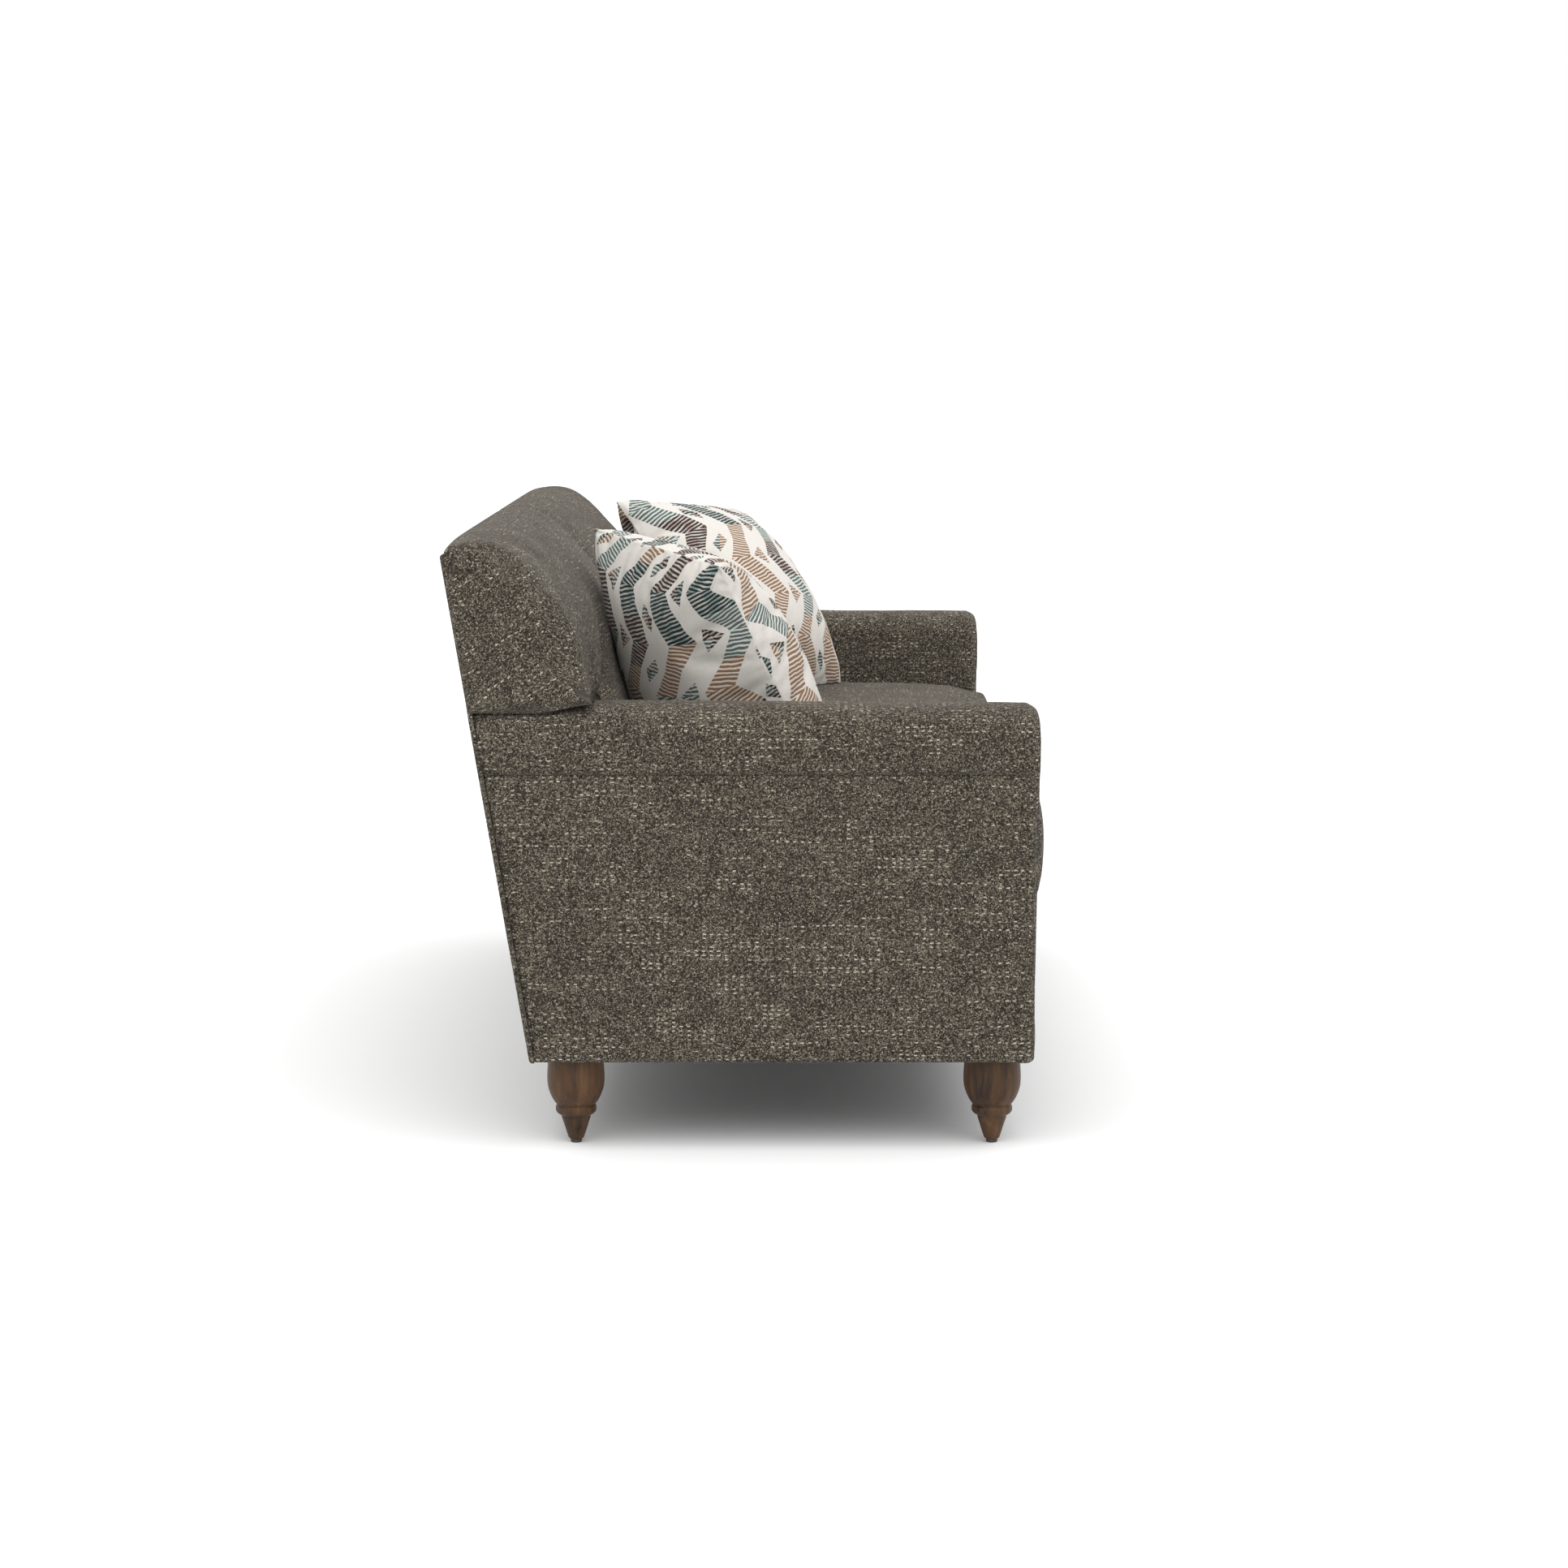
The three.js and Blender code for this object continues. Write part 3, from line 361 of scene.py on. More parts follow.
def kept_clear(piece: bpy.types.Object, target: bpy.types.Object, offset: float = 0.0008) -> None:
    """Pushes what lies inside the target out to its surface, as cloth gives where it rests."""
    wrap = piece.modifiers.new("rest", "SHRINKWRAP")
    wrap.wrap_method = "NEAREST_SURFACEPOINT"
    wrap.wrap_mode = "OUTSIDE"
    wrap.target = target
    wrap.offset = offset
    points = settled(piece)
    piece.modifiers.clear()
    move_to(piece, points)


def finished(piece: bpy.types.Object, finish: "Finish", body: str, *nodes: str, fill: float | None = None) -> bpy.types.Object:
    """Dresses a piece and ties it to the frame.

    Args:
        piece: the piece, already in place.
        finish: its material.
        body: the CAD body that it moves with.
        nodes: the CAD nodes that it stands for.
        fill: not used; for a padded piece, how full it is, from 0 to 1.

    Returns:
        The same piece.
    """
    piece.data.materials.append(finish.material)
    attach(piece, body)
    if nodes:
        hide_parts(*nodes)
    LOG.info("%s: %d faces on %s", piece.name, len(piece.data.polygons), body)
    return piece


# Shader nodes

class Value:
    """A node's output that can be used in arithmetic; each operator adds its Math node."""

    def __init__(self, kit: "NodeKit", socket: bpy.types.NodeSocket) -> None:
        self.kit = kit
        self.socket = socket

    def maths(self, operation: str, *others: Any) -> "Value":
        """This value and others through one Math node."""
        return self.kit.add("ShaderNodeMath", {i: v for i, v in enumerate((self, *others))}, operation=operation)

    def swapped(self, operation: str, other: float) -> "Value":
        """A number first, and then this value, through one Math node."""
        return self.kit.add("ShaderNodeMath", {0: other, 1: self}, operation=operation)

    def __add__(self, other: Any) -> "Value":
        """Sum."""
        return self.maths("ADD", other)

    def __mul__(self, other: Any) -> "Value":
        """Product."""
        return self.maths("MULTIPLY", other)

    def __sub__(self, other: Any) -> "Value":
        """Difference."""
        return self.maths("SUBTRACT", other)

    def __rsub__(self, other: float) -> "Value":
        """A number less this value."""
        return self.swapped("SUBTRACT", other)

    def __truediv__(self, other: Any) -> "Value":
        """Quotient."""
        return self.maths("DIVIDE", other)

    def __pow__(self, other: Any) -> "Value":
        """Power."""
        return self.maths("POWER", other)

    def __gt__(self, other: Any) -> "Value":
        """1 where this value is greater, else 0."""
        return self.maths("GREATER_THAN", other)

    def __lt__(self, other: Any) -> "Value":
        """1 where this value is less, else 0."""
        return self.maths("LESS_THAN", other)

    __radd__ = __add__
    __rmul__ = __mul__

    def ranged(self, low: float, high: float, to_low: float = 0.0, to_high: float = 1.0) -> "Value":
        """This value carried smoothly from one range to another, and held at its ends."""
        ends = {"From Min": low, "From Max": high, "To Min": to_low, "To Max": to_high}
        return self.kit.add("ShaderNodeMapRange", {"Value": self, **ends}, interpolation_type="SMOOTHSTEP")


class NodeKit:
    """Builds one material's nodes."""

    def __init__(self, name: str) -> None:
        """Makes an empty material.

        Args:
            name: the material's name.
        """
        self.material = bpy.data.materials.new(name)
        self.material.use_nodes = True
        self.tree = self.material.node_tree
        self.tree.nodes.clear()

    def add(self, kind: str, values: dict[Any, Any] | None = None, output: int | str = 0, **settings: Any) -> Value:
        """Adds a node.

        Args:
            kind: the node's type.
            values: its inputs by name or number, each a number, a colour or a Value to link.
            output: the output to give back.
            settings: its properties, set first; stops is a ramp's list of (place, colour).

        Returns:
            The output as a Value.
        """
        node = self.tree.nodes.new(kind)
        for key, setting in settings.items():
            if key == "stops":
                ramp = node.color_ramp
                while len(ramp.elements) < len(setting):
                    ramp.elements.new(0.5)
                for element, (place, colour) in zip(ramp.elements, setting):
                    element.position = place
                    element.color = (*colour, 1.0)
            else:
                setattr(node, key, setting)
        for key, value in (values or {}).items():
            if isinstance(value, Value):
                self.tree.links.new(value.socket, node.inputs[key])
            else:
                node.inputs[key].default_value = value
        return Value(self, node.outputs[output])

    def split(self, vector: Value) -> tuple[Value, Value, Value]:
        """The three parts of a vector."""
        first = self.add("ShaderNodeSeparateXYZ", {0: vector})
        outputs = first.socket.node.outputs
        return tuple(Value(self, socket) for socket in outputs)

    def joined(self, x: Any, y: Any, z: Any = 0.0) -> Value:
        """A vector of three parts."""
        return self.add("ShaderNodeCombineXYZ", {0: x, 1: y, 2: z})

    def mixed(self, share: Any, first: Any, second: Any) -> Value:
        """Two colours mixed by a share of the second."""
        return self.add("ShaderNodeMix", {0: share, 6: first, 7: second}, 2, data_type="RGBA")

    def noise(self, place: Value, scale: float, detail: float = 2.0, rough: float = 0.5) -> Value:
        """Fractal noise at a place, about 0.5."""
        return self.add("ShaderNodeTexNoise", {"Vector": place, "Scale": scale, "Detail": detail, "Roughness": rough})

    def cells(self, place: Value, randomness: float = 1.0) -> tuple[Value, Value, Value]:
        """Distance to the nearest of scattered points, and two random numbers for that point's cell."""
        distance = self.add("ShaderNodeTexVoronoi", {"Vector": place, "Scale": 1.0, "Randomness": randomness})
        colour = Value(self, distance.socket.node.outputs["Color"])
        red, green, _ = self.split(colour)
        return distance, red, green

    def surface(self, colour: Any, roughness: Any, height: Value | None = None, relief: float = 0.0, metallic: float = 0.0,
                **constants: Any) -> None:
        """The material's shader.

        Args:
            colour: base colour.
            roughness: roughness.
            height: what the bump follows, if any.
            relief: the bump's depth in metres.
            metallic: 1 for metal.
            constants: numbers for the shader's own sockets, with _ for a space.
        """
        values = {"Base Color": colour, "Roughness": roughness, "Metallic": metallic}
        values |= {key.replace("_", " "): value for key, value in constants.items()}
        if height is not None:
            values["Normal"] = self.add("ShaderNodeBump", {"Height": height, "Distance": relief, "Strength": 1.0})
        shader = self.add("ShaderNodeBsdfPrincipled", values)
        self.finish(shader)

    def finish(self, shader: Value) -> None:
        """Links a shader to the material's output."""
        output = self.tree.nodes.new("ShaderNodeOutputMaterial")
        self.tree.links.new(shader.socket, output.inputs["Surface"])


@dataclass
class Finish:
    """A material with the record's slot that it belongs to."""

    slot: str
    material: bpy.types.Material


Colour = tuple[float, float, float]


def rgba(colour: Colour) -> tuple[float, float, float, float]:
    """A colour with full alpha, as sockets take it."""
    return (*colour, 1.0)


@dataclass(frozen=True)
class Tweed:
    """Chenille tweed: fine mixed yarns, with short cream slubs at every repeat of the weave in broken rows."""

    dark: Colour = (0.0064, 0.0047, 0.0034)
    middle: Colour = (0.0383, 0.0315, 0.0230)
    light: Colour = (0.194, 0.167, 0.126)
    slub: Colour = (0.60, 0.54, 0.44)
    grain: float = 0.0018
    second_grain: float = 0.0012
    repeat: tuple[float, float] = (0.0117, 0.00655)
    dash: tuple[float, float] = (0.0030, 0.00125)
    mottle: float = 0.075

    def make(self) -> Finish:
        """Random cells at two sizes give the yarns, a lattice of short dashes the slubs, and slow noise the mottle.

        Returns:
            The finish for the sofa_fabric slot.
        """
        kit = NodeKit("tweed")
        cloth = kit.add("ShaderNodeUVMap", uv_map="cloth")
        u, v, _ = kit.split(cloth)
        wander = (kit.noise(cloth, 22.0, 1.0) - 0.5) * 0.007
        v = v + wander
        edge, first, _ = kit.cells(kit.joined(u / (self.grain * 1.15), v / self.grain))
        _, second, _ = kit.cells(kit.joined(u / self.second_grain, v / (self.second_grain * 1.3), 7.0))
        mottle = kit.noise(cloth, 1.0 / self.mottle, 3.0, 0.6)
        yarns = first * 0.58 + second * 0.42
        # painted shade: the distance from each yarn cell's middle darkens the yarns towards their rims, standing in
        # for shade between rounded yarns
        tone = yarns + (mottle - 0.5) * 0.20 - edge * 0.16 + 0.07
        stops = [(0.14, self.dark), (0.48, self.middle), (0.92, self.light)]
        colour = kit.add("ShaderNodeValToRGB", {0: tone}, stops=stops)
        across, down = u / self.repeat[0], v / self.repeat[1]
        column, row = across.maths("FLOOR"), down.maths("FLOOR")
        chance = kit.add("ShaderNodeTexWhiteNoise", {"Vector": kit.joined(column, row, 0.5)})
        x = (across.maths("FRACT") - 0.5 + (chance - 0.5) * 0.22) * (self.repeat[0] / self.dash[0])
        y = (down.maths("FRACT") - 0.5) * (self.repeat[1] / self.dash[1])
        dash = (x * x * x * x + y * y).ranged(0.35, 1.15, 1.0, 0.0)
        runs = kit.noise(kit.joined(u * 11.0, row * 3.71), 1.0, 1.0)
        chosen = (runs + (chance - 0.5) * 0.30 + (mottle - 0.5) * 0.55).ranged(0.55, 0.74)
        slub = dash * chosen
        specks = second.ranged(0.90, 0.96) * first.ranged(0.35, 0.60)
        colour = kit.mixed(slub * 0.62 + specks * 0.45, colour, rgba(self.slub))
        height = yarns * 0.9 + slub * 0.8 + (1.0 - edge) * 0.35
        kit.surface(colour, 0.92, height, 0.0008, Specular_IOR_Level=0.20, Sheen_Weight=0.09, Sheen_Roughness=0.5,
                    Sheen_Tint=rgba((0.85, 0.80, 0.74)))
        return Finish("sofa_fabric", kit.material)


@dataclass(frozen=True)
class Ink:
    """One colour of the print: the tint under the strokes, and the strokes."""

    tint: Colour
    stroke: Colour


@dataclass(frozen=True)
class PrintLinen:
    """Flecked oatmeal linen with upright zigzag bands, and lozenges in their hollows, all filled with hatched strokes."""

    ground: Colour = (0.585, 0.56, 0.52)
    fleck: Colour = (0.36, 0.32, 0.28)
    inks: tuple[Ink, ...] = (
        Ink((0.19, 0.25, 0.235), (0.0065, 0.0135, 0.0145)), Ink((0.58, 0.46, 0.37), (0.175, 0.108, 0.065)),
        Ink((0.45, 0.50, 0.47), (0.070, 0.094, 0.087)), Ink((0.27, 0.20, 0.17), (0.0170, 0.0100, 0.0090)))
    spacing: float = 0.112
    fold: float = 0.084
    swing: float = 0.032
    band: float = 0.0255
    lozenge: tuple[float, float] = (0.0190, 0.042)
    stroke: float = 0.0058

    def make(self) -> Finish:
        """A folded wave sways upright bands, a lozenge fills each hollow, and strokes of ink cross both.

        Returns:
            The finish for the print_fabric slot.
        """
        kit = NodeKit("print_linen")
        cloth = kit.add("ShaderNodeUVMap", uv_map="cloth")
        u, v, _ = kit.split(cloth)
        shake = kit.noise(cloth, 38.0, 1.0) - 0.5
        edge = kit.noise(kit.joined(u * 320.0, v * 320.0), 1.0, 2.0) - 0.5
        wave = (v / self.fold).maths("PINGPONG", 1.0) - 0.5
        place = u + wave * (2.0 * self.swing) + shake * 0.004
        column = (place / self.spacing).maths("FLOOR")
        offset = ((place / self.spacing).maths("FRACT") - 0.5) * self.spacing
        swell = (v / self.fold + 0.5).maths("PINGPONG", 1.0) * 0.5 + 0.78
        band = (offset.maths("ABSOLUTE") - swell * self.band + edge * 0.0016).ranged(-0.0005, 0.0005, 1.0, 0.0)
        middle = place / self.spacing + 0.5
        x = (middle.maths("FRACT") - 0.5) * (self.spacing / self.lozenge[0])
        y = ((v / self.fold + middle.maths("FLOOR") * 0.5).maths("FRACT") - 0.5) * (self.fold / self.lozenge[1] * 2.0)
        lozenge = (x.maths("ABSOLUTE") + y.maths("ABSOLUTE") + edge * 0.10).ranged(0.96, 1.03, 1.0, 0.0)
        printed = band.maths("MAXIMUM", lozenge)
        climb = ((v / (2.0 * self.fold)).maths("FRACT") > 0.5) * 2.0 - 1.0
        across = (v + climb * offset * 0.22 + shake * 0.006) / self.stroke
        hatch = (across.maths("PINGPONG", 0.5) + edge * 0.17).ranged(0.16, 0.26)
        turn = (v / self.fold + column * 0.5).maths("FLOOR")
        deal = kit.add("ShaderNodeTexWhiteNoise", {"Vector": kit.joined(column + lozenge * 9.0, turn, 2.5)})
        tint, stroke = rgba(self.inks[0].tint), rgba(self.inks[0].stroke)
        for ink, share in zip(self.inks[1:], (0.27, 0.52, 0.76)):
            tint = kit.mixed(deal > share, tint, rgba(ink.tint))
            stroke = kit.mixed(deal > share, stroke, rgba(ink.stroke))
        threads = kit.noise(kit.joined(u * 300.0, v * 1500.0), 1.0, 1.0) * 0.5
        threads = threads + kit.noise(kit.joined(u * 1500.0, v * 300.0, 5.0), 1.0, 1.0) * 0.5
        flecks = kit.noise(kit.joined(u * 190.0, v * 420.0), 1.0, 2.0).ranged(0.60, 0.74)
        linen = kit.mixed(flecks * 0.55 + (threads - 0.5) * 0.7, rgba(self.ground), rgba(self.fleck))
        worn = kit.noise(cloth, 620.0, 2.0).ranged(0.25, 0.50, 0.70, 1.0)
        patchy = kit.noise(cloth, 45.0, 2.0).ranged(0.35, 0.65, 0.30, 0.95)
        colour = kit.mixed(printed * patchy, linen, tint)
        colour = kit.mixed(printed * hatch * worn, colour, stroke)
        kit.surface(colour, 0.88, threads + printed * hatch * 0.15, 0.0005, Specular_IOR_Level=0.2, Sheen_Weight=0.05)
        return Finish("print_fabric", kit.material)


@dataclass(frozen=True)
class Wood:
    """Straight-grained timber: streaks stretched along the grain, with pores and a clear coat."""

    name: str
    slot: str
    dark: Colour
    light: Colour
    stretch: tuple[float, float, float]
    roughness: float
    coat: float

    def make(self) -> Finish:
        """Noise read on stretched coordinates gives the streaks, and finer noise the pores.

        Returns:
            The finish for the wood's slot.
        """
        kit = NodeKit(self.name)
        place = kit.add("ShaderNodeTexCoord", output="Object")
        x, y, z = kit.split(place)
        bend = (kit.noise(place, 9.0, 2.0) - 0.5) * 0.02
        along = kit.joined((x + bend) * self.stretch[0], (y + bend) * self.stretch[1], z * self.stretch[2])
        streaks = kit.noise(along, 1.0, 5.0, 0.62)
        broad = kit.noise(kit.joined(x * self.stretch[0] * 0.25, y * self.stretch[1] * 0.25, z * self.stretch[2] * 0.5), 1.0, 2.0)
        fine = kit.noise(kit.joined(x * self.stretch[0] * 6, y * self.stretch[1] * 6, z * self.stretch[2] * 3), 1.0, 2.0)
        pores = fine.ranged(0.62, 0.72)
        tone = streaks * 0.75 + broad * 0.70 - 0.22
        colour = kit.add("ShaderNodeValToRGB", {0: tone}, stops=[(0.32, self.dark), (0.70, self.light)])
        colour = kit.mixed(pores * 0.45, colour, rgba(tuple(c * 0.45 for c in self.dark)))
        rough = streaks.ranged(0.3, 0.7, self.roughness - 0.05, self.roughness + 0.08)
        kit.surface(colour, rough, streaks - pores * 0.6, 0.0002, Coat_Weight=self.coat, Coat_Roughness=0.22, Specular_IOR_Level=0.28)
        return Finish(self.slot, kit.material)


@dataclass(frozen=True)
class Cloth:
    """Plain woven or bonded cloth of one colour, with a crossed thread pattern."""

    name: str
    slot: str
    colour: Colour
    thread: float
    fuzz: float = 0.35

    def make(self) -> Finish:
        """Crossed stretched noise gives the threads, and slow noise the unevenness of the dye.

        Returns:
            The finish for the cloth's slot.
        """
        kit = NodeKit(self.name)
        x, y, z = kit.split(kit.add("ShaderNodeTexCoord", output="Object"))
        place = kit.joined(x, y, z)
        fine, coarse = 1.0 / self.thread, 0.2 / self.thread
        weft = kit.noise(kit.joined(x * coarse, y * fine, z * fine), 1.0, 1.0)
        warp = kit.noise(kit.joined(x * fine, y * coarse, z * coarse), 1.0, 1.0)
        threads = weft.maths("MAXIMUM", warp)
        uneven = kit.noise(place, 14.0, 3.0)
        tone = (threads - 0.5) * self.fuzz + (uneven - 0.5) * 0.3 + 0.5
        low, high = (tuple(c * k for c in self.colour) for k in (0.55, 1.5))
        colour = kit.add("ShaderNodeValToRGB", {0: tone}, stops=[(0.3, low), (0.75, high)])
        kit.surface(colour, 0.93, threads, 0.0004, Specular_IOR_Level=0.2, Sheen_Weight=0.1)
        return Finish(self.slot, kit.material)


@dataclass(frozen=True)
class Metal:
    """Plated or moulded hardware with fine handling marks."""

    name: str
    slot: str
    colour: Colour
    roughness: float
    metallic: float

    def make(self) -> Finish:
        """Slow and fine noise vary the tone and the gloss a little.

        Returns:
            The finish for the part's slot.
        """
        kit = NodeKit(self.name)
        place = kit.add("ShaderNodeTexCoord", output="Object")
        cloud = kit.noise(place, 60.0, 3.0)
        grain = kit.noise(place, 900.0, 2.0)
        low, high = (tuple(c * k for c in self.colour) for k in (0.75, 1.2))
        colour = kit.add("ShaderNodeValToRGB", {0: cloud}, stops=[(0.3, low), (0.7, high)])
        rough = (cloud + grain).ranged(0.7, 1.3, self.roughness - 0.08, self.roughness + 0.12)
        kit.surface(colour, rough, grain, 0.0001, self.metallic)
        return Finish(self.slot, kit.material)


class Finishes:
    """Every finish on the sofa."""

    def __init__(self) -> None:
        """Makes the materials once."""
        self.tweed = Tweed().make()
        self.print = PrintLinen().make()
        self.walnut = Wood("walnut", "walnut", (0.0165, 0.0069, 0.0025), (0.106, 0.0500, 0.0180), (95.0, 95.0, 9.0), 0.46, 0.03).make()
        self.hardwood = Wood("hardwood", "hardwood", (0.30, 0.19, 0.10), (0.56, 0.40, 0.23), (14.0, 60.0, 60.0), 0.65, 0.0).make()
        self.lining = Cloth("lining", "lining", (0.020, 0.019, 0.018), 0.0011).make()
        self.webbing = Cloth("webbing", "lining", (0.16, 0.12, 0.075), 0.0022, 0.7).make()
        self.steel = Metal("steel", "steel", (0.42, 0.42, 0.44), 0.34, 1.0).make()
        self.nylon = Metal("nylon", "glide", (0.040, 0.027, 0.020), 0.42, 0.0).make()
        self.zip = Metal("zip_teeth", "lining", (0.045, 0.042, 0.040), 0.4, 0.0).make()


# Sub-assemblies

@dataclass
class TurnedLeg:
    """A turned leg from its bulb down to a tapered tip, with its glide."""

    half_spread: float = 0.326
    from_middle: float = 0.920
    shift: float = -0.059
    sides: int = 72
    knots: tuple[tuple[float, float], ...] = (
        (0.0425, 0.1407), (0.0434, 0.132), (0.0444, 0.118), (0.0450, 0.104), (0.0442, 0.092), (0.0424, 0.084),
        (0.0388, 0.0745), (0.0344, 0.0665), (0.0310, 0.0622), (0.0296, 0.0606))
    bead: tuple[tuple[float, float], ...] = (
        (0.0296, 0.0606), (0.0309, 0.0597), (0.0318, 0.0570), (0.0320, 0.0535), (0.0312, 0.0500), (0.0288, 0.0470),
        (0.0258, 0.0450), (0.0236, 0.0440))
    ankle: tuple[tuple[float, float], ...] = (
        (0.0236, 0.0440), (0.0228, 0.0425), (0.0226, 0.0400), (0.0205, 0.0335), (0.0178, 0.0250), (0.0152, 0.0165),
        (0.0130, 0.0100), (0.0118, 0.0072), (0.0108, 0.0063))

    def lathed(self, name: str, profile: Array, x: float, y: float) -> bpy.types.Object:
        """A profile of (radius, height) turned about a leg's axis: (r cos a, r sin a, z).

        Args:
            name: the piece's name.
            profile: the outline from the top's middle to the bottom's middle.
            x: the axis's place along the sofa.
            y: the axis's place front to back.

        Returns:
            The turned piece.
        """
        angle = np.linspace(0.0, 2 * math.pi, self.sides + 1)
        radius, height = profile[:, :1], profile[:, 1:]
        points = np.stack([x + radius * np.cos(angle), y + radius * np.sin(angle), height + 0 * angle], axis=-1)
        cloth = np.stack(np.broadcast_arrays(angle * 0.03, height), axis=-1)
        return Skin(name).patch(points, cloth).build()

    def build(self, finishes: Finishes) -> None:
        """Turns the four legs and their glides."""
        knots, bead, ankle = (smooth_path(np.array(k), n) for k, n in ((self.knots, 40), (self.bead, 22), (self.ankle, 34)))
        middle = np.array([[0.0, 0.1407]])
        leg = np.vstack([middle, [[0.041, 0.1407]], knots, bead[1:], ankle[1:], [[0.0, 0.0063]]])
        glide = np.array([[0.0, 0.0060], [0.0086, 0.0060], [0.0090, 0.0056], [0.0090, 0.0018], [0.0084, 0.0006], [0.0074, 0.0], [0.0, 0.0]])
        for row, front in ROWS.items():
            for side, end in SIDES.items():
                x, y = end * self.from_middle, front * self.half_spread + self.shift
                piece = self.lathed(f"turned_leg_{row}_{side}", leg, x, y)
                finished(piece, finishes.walnut, "root", f"leg_{row}_{side}")
                tip = self.lathed(f"leg_tip_{row}_{side}", glide, x, y)
                finished(tip, finishes.nylon, "root", f"glide_{row}_{side}")


@dataclass
class RollArm:
    """An upholstered arm: a roll over an inner wall, an outside panel and a padded facing."""

    name: str
    end: float
    wall: float = 0.025
    panel: float = 0.008
    wall_foot: float = 0.319
    rear_rise: float = 0.005
    steps: int = 90

    def roll_arc(self, count: int) -> Array:
        """The roll from the inside shoulder over to the tuck below: a superellipse, then a quarter wave."""
        angle = np.linspace(math.pi, 0.0, count)
        power = 2.0 / SOFA.squareness
        sideways = np.sign(np.cos(angle)) * np.abs(np.cos(angle)) ** power
        x = SOFA.arm_middle + SOFA.arm_half * sideways
        z = SOFA.shoulder + (SOFA.arm_top - SOFA.shoulder) * np.abs(np.sin(angle)) ** power
        turn = np.linspace(0.0, math.pi / 2, count // 3)[1:]
        tuck_x = SOFA.half_length - SOFA.roll_proud * (1 - np.cos(turn))
        tuck_z = SOFA.shoulder - (SOFA.shoulder - SOFA.roll_bottom) * np.sin(turn)
        return np.vstack([np.stack([x, z], axis=1), np.stack([tuck_x, tuck_z], axis=1)])

    def roll(self) -> Skin:
        """The roll and inner wall, carried along Y from the facing to the raked rear.

        Y runs from the facing to the rear line of each height, so the rear end is raked, and both ends are drawn in.
        """
        low = self.wall_foot
        inner = SOFA.arm_inner + self.wall
        under = SOFA.roll_bottom - 0.0006
        arc = resample(self.roll_arc(60), 84)
        lip = np.array([[0.9835, 0.5870], [0.9805, under]])
        outline = np.vstack([
            np.linspace([SOFA.arm_inner, low], arc[0], 22, endpoint=False), arc, lip,
            np.linspace(lip[-1], [inner, under], 12)[1:], np.linspace([inner, under], [inner, low], 10)[1:],
            np.linspace([inner, low], [SOFA.arm_inner, low], 5)[1:]])
        share = spaced((0.0, 0.02, 5), (0.02, 0.97, self.steps), (0.97, 1.0, 8))[:, None]
        front = SOFA.arm_front + SOFA.facing - 0.0010
        x = np.broadcast_to(outline[:, 0], (len(share), len(outline)))
        z = np.broadcast_to(outline[:, 1], x.shape)
        y = front + (SOFA.rear_line(z, SOFA.skin - 0.0005) - front) * share
        top = smoothstep(z, SOFA.roll_bottom, SOFA.arm_top)
        z = z + top * self.rear_rise * share
        centre = np.array([SOFA.arm_middle, SOFA.shoulder])
        drawn = 0.0035 * smoothstep(share, 0.985, 1.0) ** 2 + 0.0003 * smoothstep(share, 0.006, 0.0)
        away = np.stack([x - centre[0], z - centre[1]], axis=-1)
        away /= np.maximum(np.linalg.norm(away, axis=-1, keepdims=True), 1e-6)
        outer = top > 0
        x = x - away[..., 0] * drawn * outer
        z = z - away[..., 1] * drawn * outer
        points = np.stack([x, y, z], axis=-1)
        soft = ripple(points, 11, 0.16) * 0.0011 + ripple(points, 12, 0.05) * 0.0004
        soft = soft * smoothstep(z, SOFA.roll_bottom + 0.01, SOFA.shoulder) * smoothstep(share, 0.0, 0.04)
        soft = soft * smoothstep(x, SOFA.arm_inner - 0.001, SOFA.arm_inner + 0.02)
        points[..., 0] += away[..., 0] * soft
        points[..., 2] += away[..., 1] * soft
        around = lengths(outline)
        cloth = np.stack(np.broadcast_arrays(y, around[None, :]), axis=-1) + [0.37, 0.11 * self.end]
        skin = Skin(f"arm_roll_{self.name}", self.end).patch(points, cloth)
        return skin.cap(points[0, :-1]).cap(points[-1, :-1][::-1])

    def outside(self) -> Skin:
        """The outside panel: a thin padded slab whose edges are rounded by a superellipse of their depth."""
        low, high = SOFA.base, SOFA.roll_bottom - 0.0006
        face = SOFA.half_length - SOFA.roll_proud
        s = spaced((0.0, 0.02, 6), (0.02, 0.97, 60), (0.97, 1.0, 8))[:, None]
        t = spaced((0.0, 0.03, 8), (0.03, 0.96, 40), (0.96, 1.0, 8))[None, :]
        z = low + (high - low) * t + 0 * s
        front = SOFA.arm_front + SOFA.facing - 0.0010
        y = front + (SOFA.rear_line(z, SOFA.skin - 0.0005) - front) * s
        rear = SOFA.rear_line(z, SOFA.skin - 0.0005)

        def edge(distance: Array, radius: float) -> Array:
            """How far a rounded edge has dropped at a distance from it: a quarter circle."""
            near = np.clip(1.0 - distance / radius, 0.0, 1.0)
            return radius * (1.0 - np.sqrt(1.0 - near ** 2))

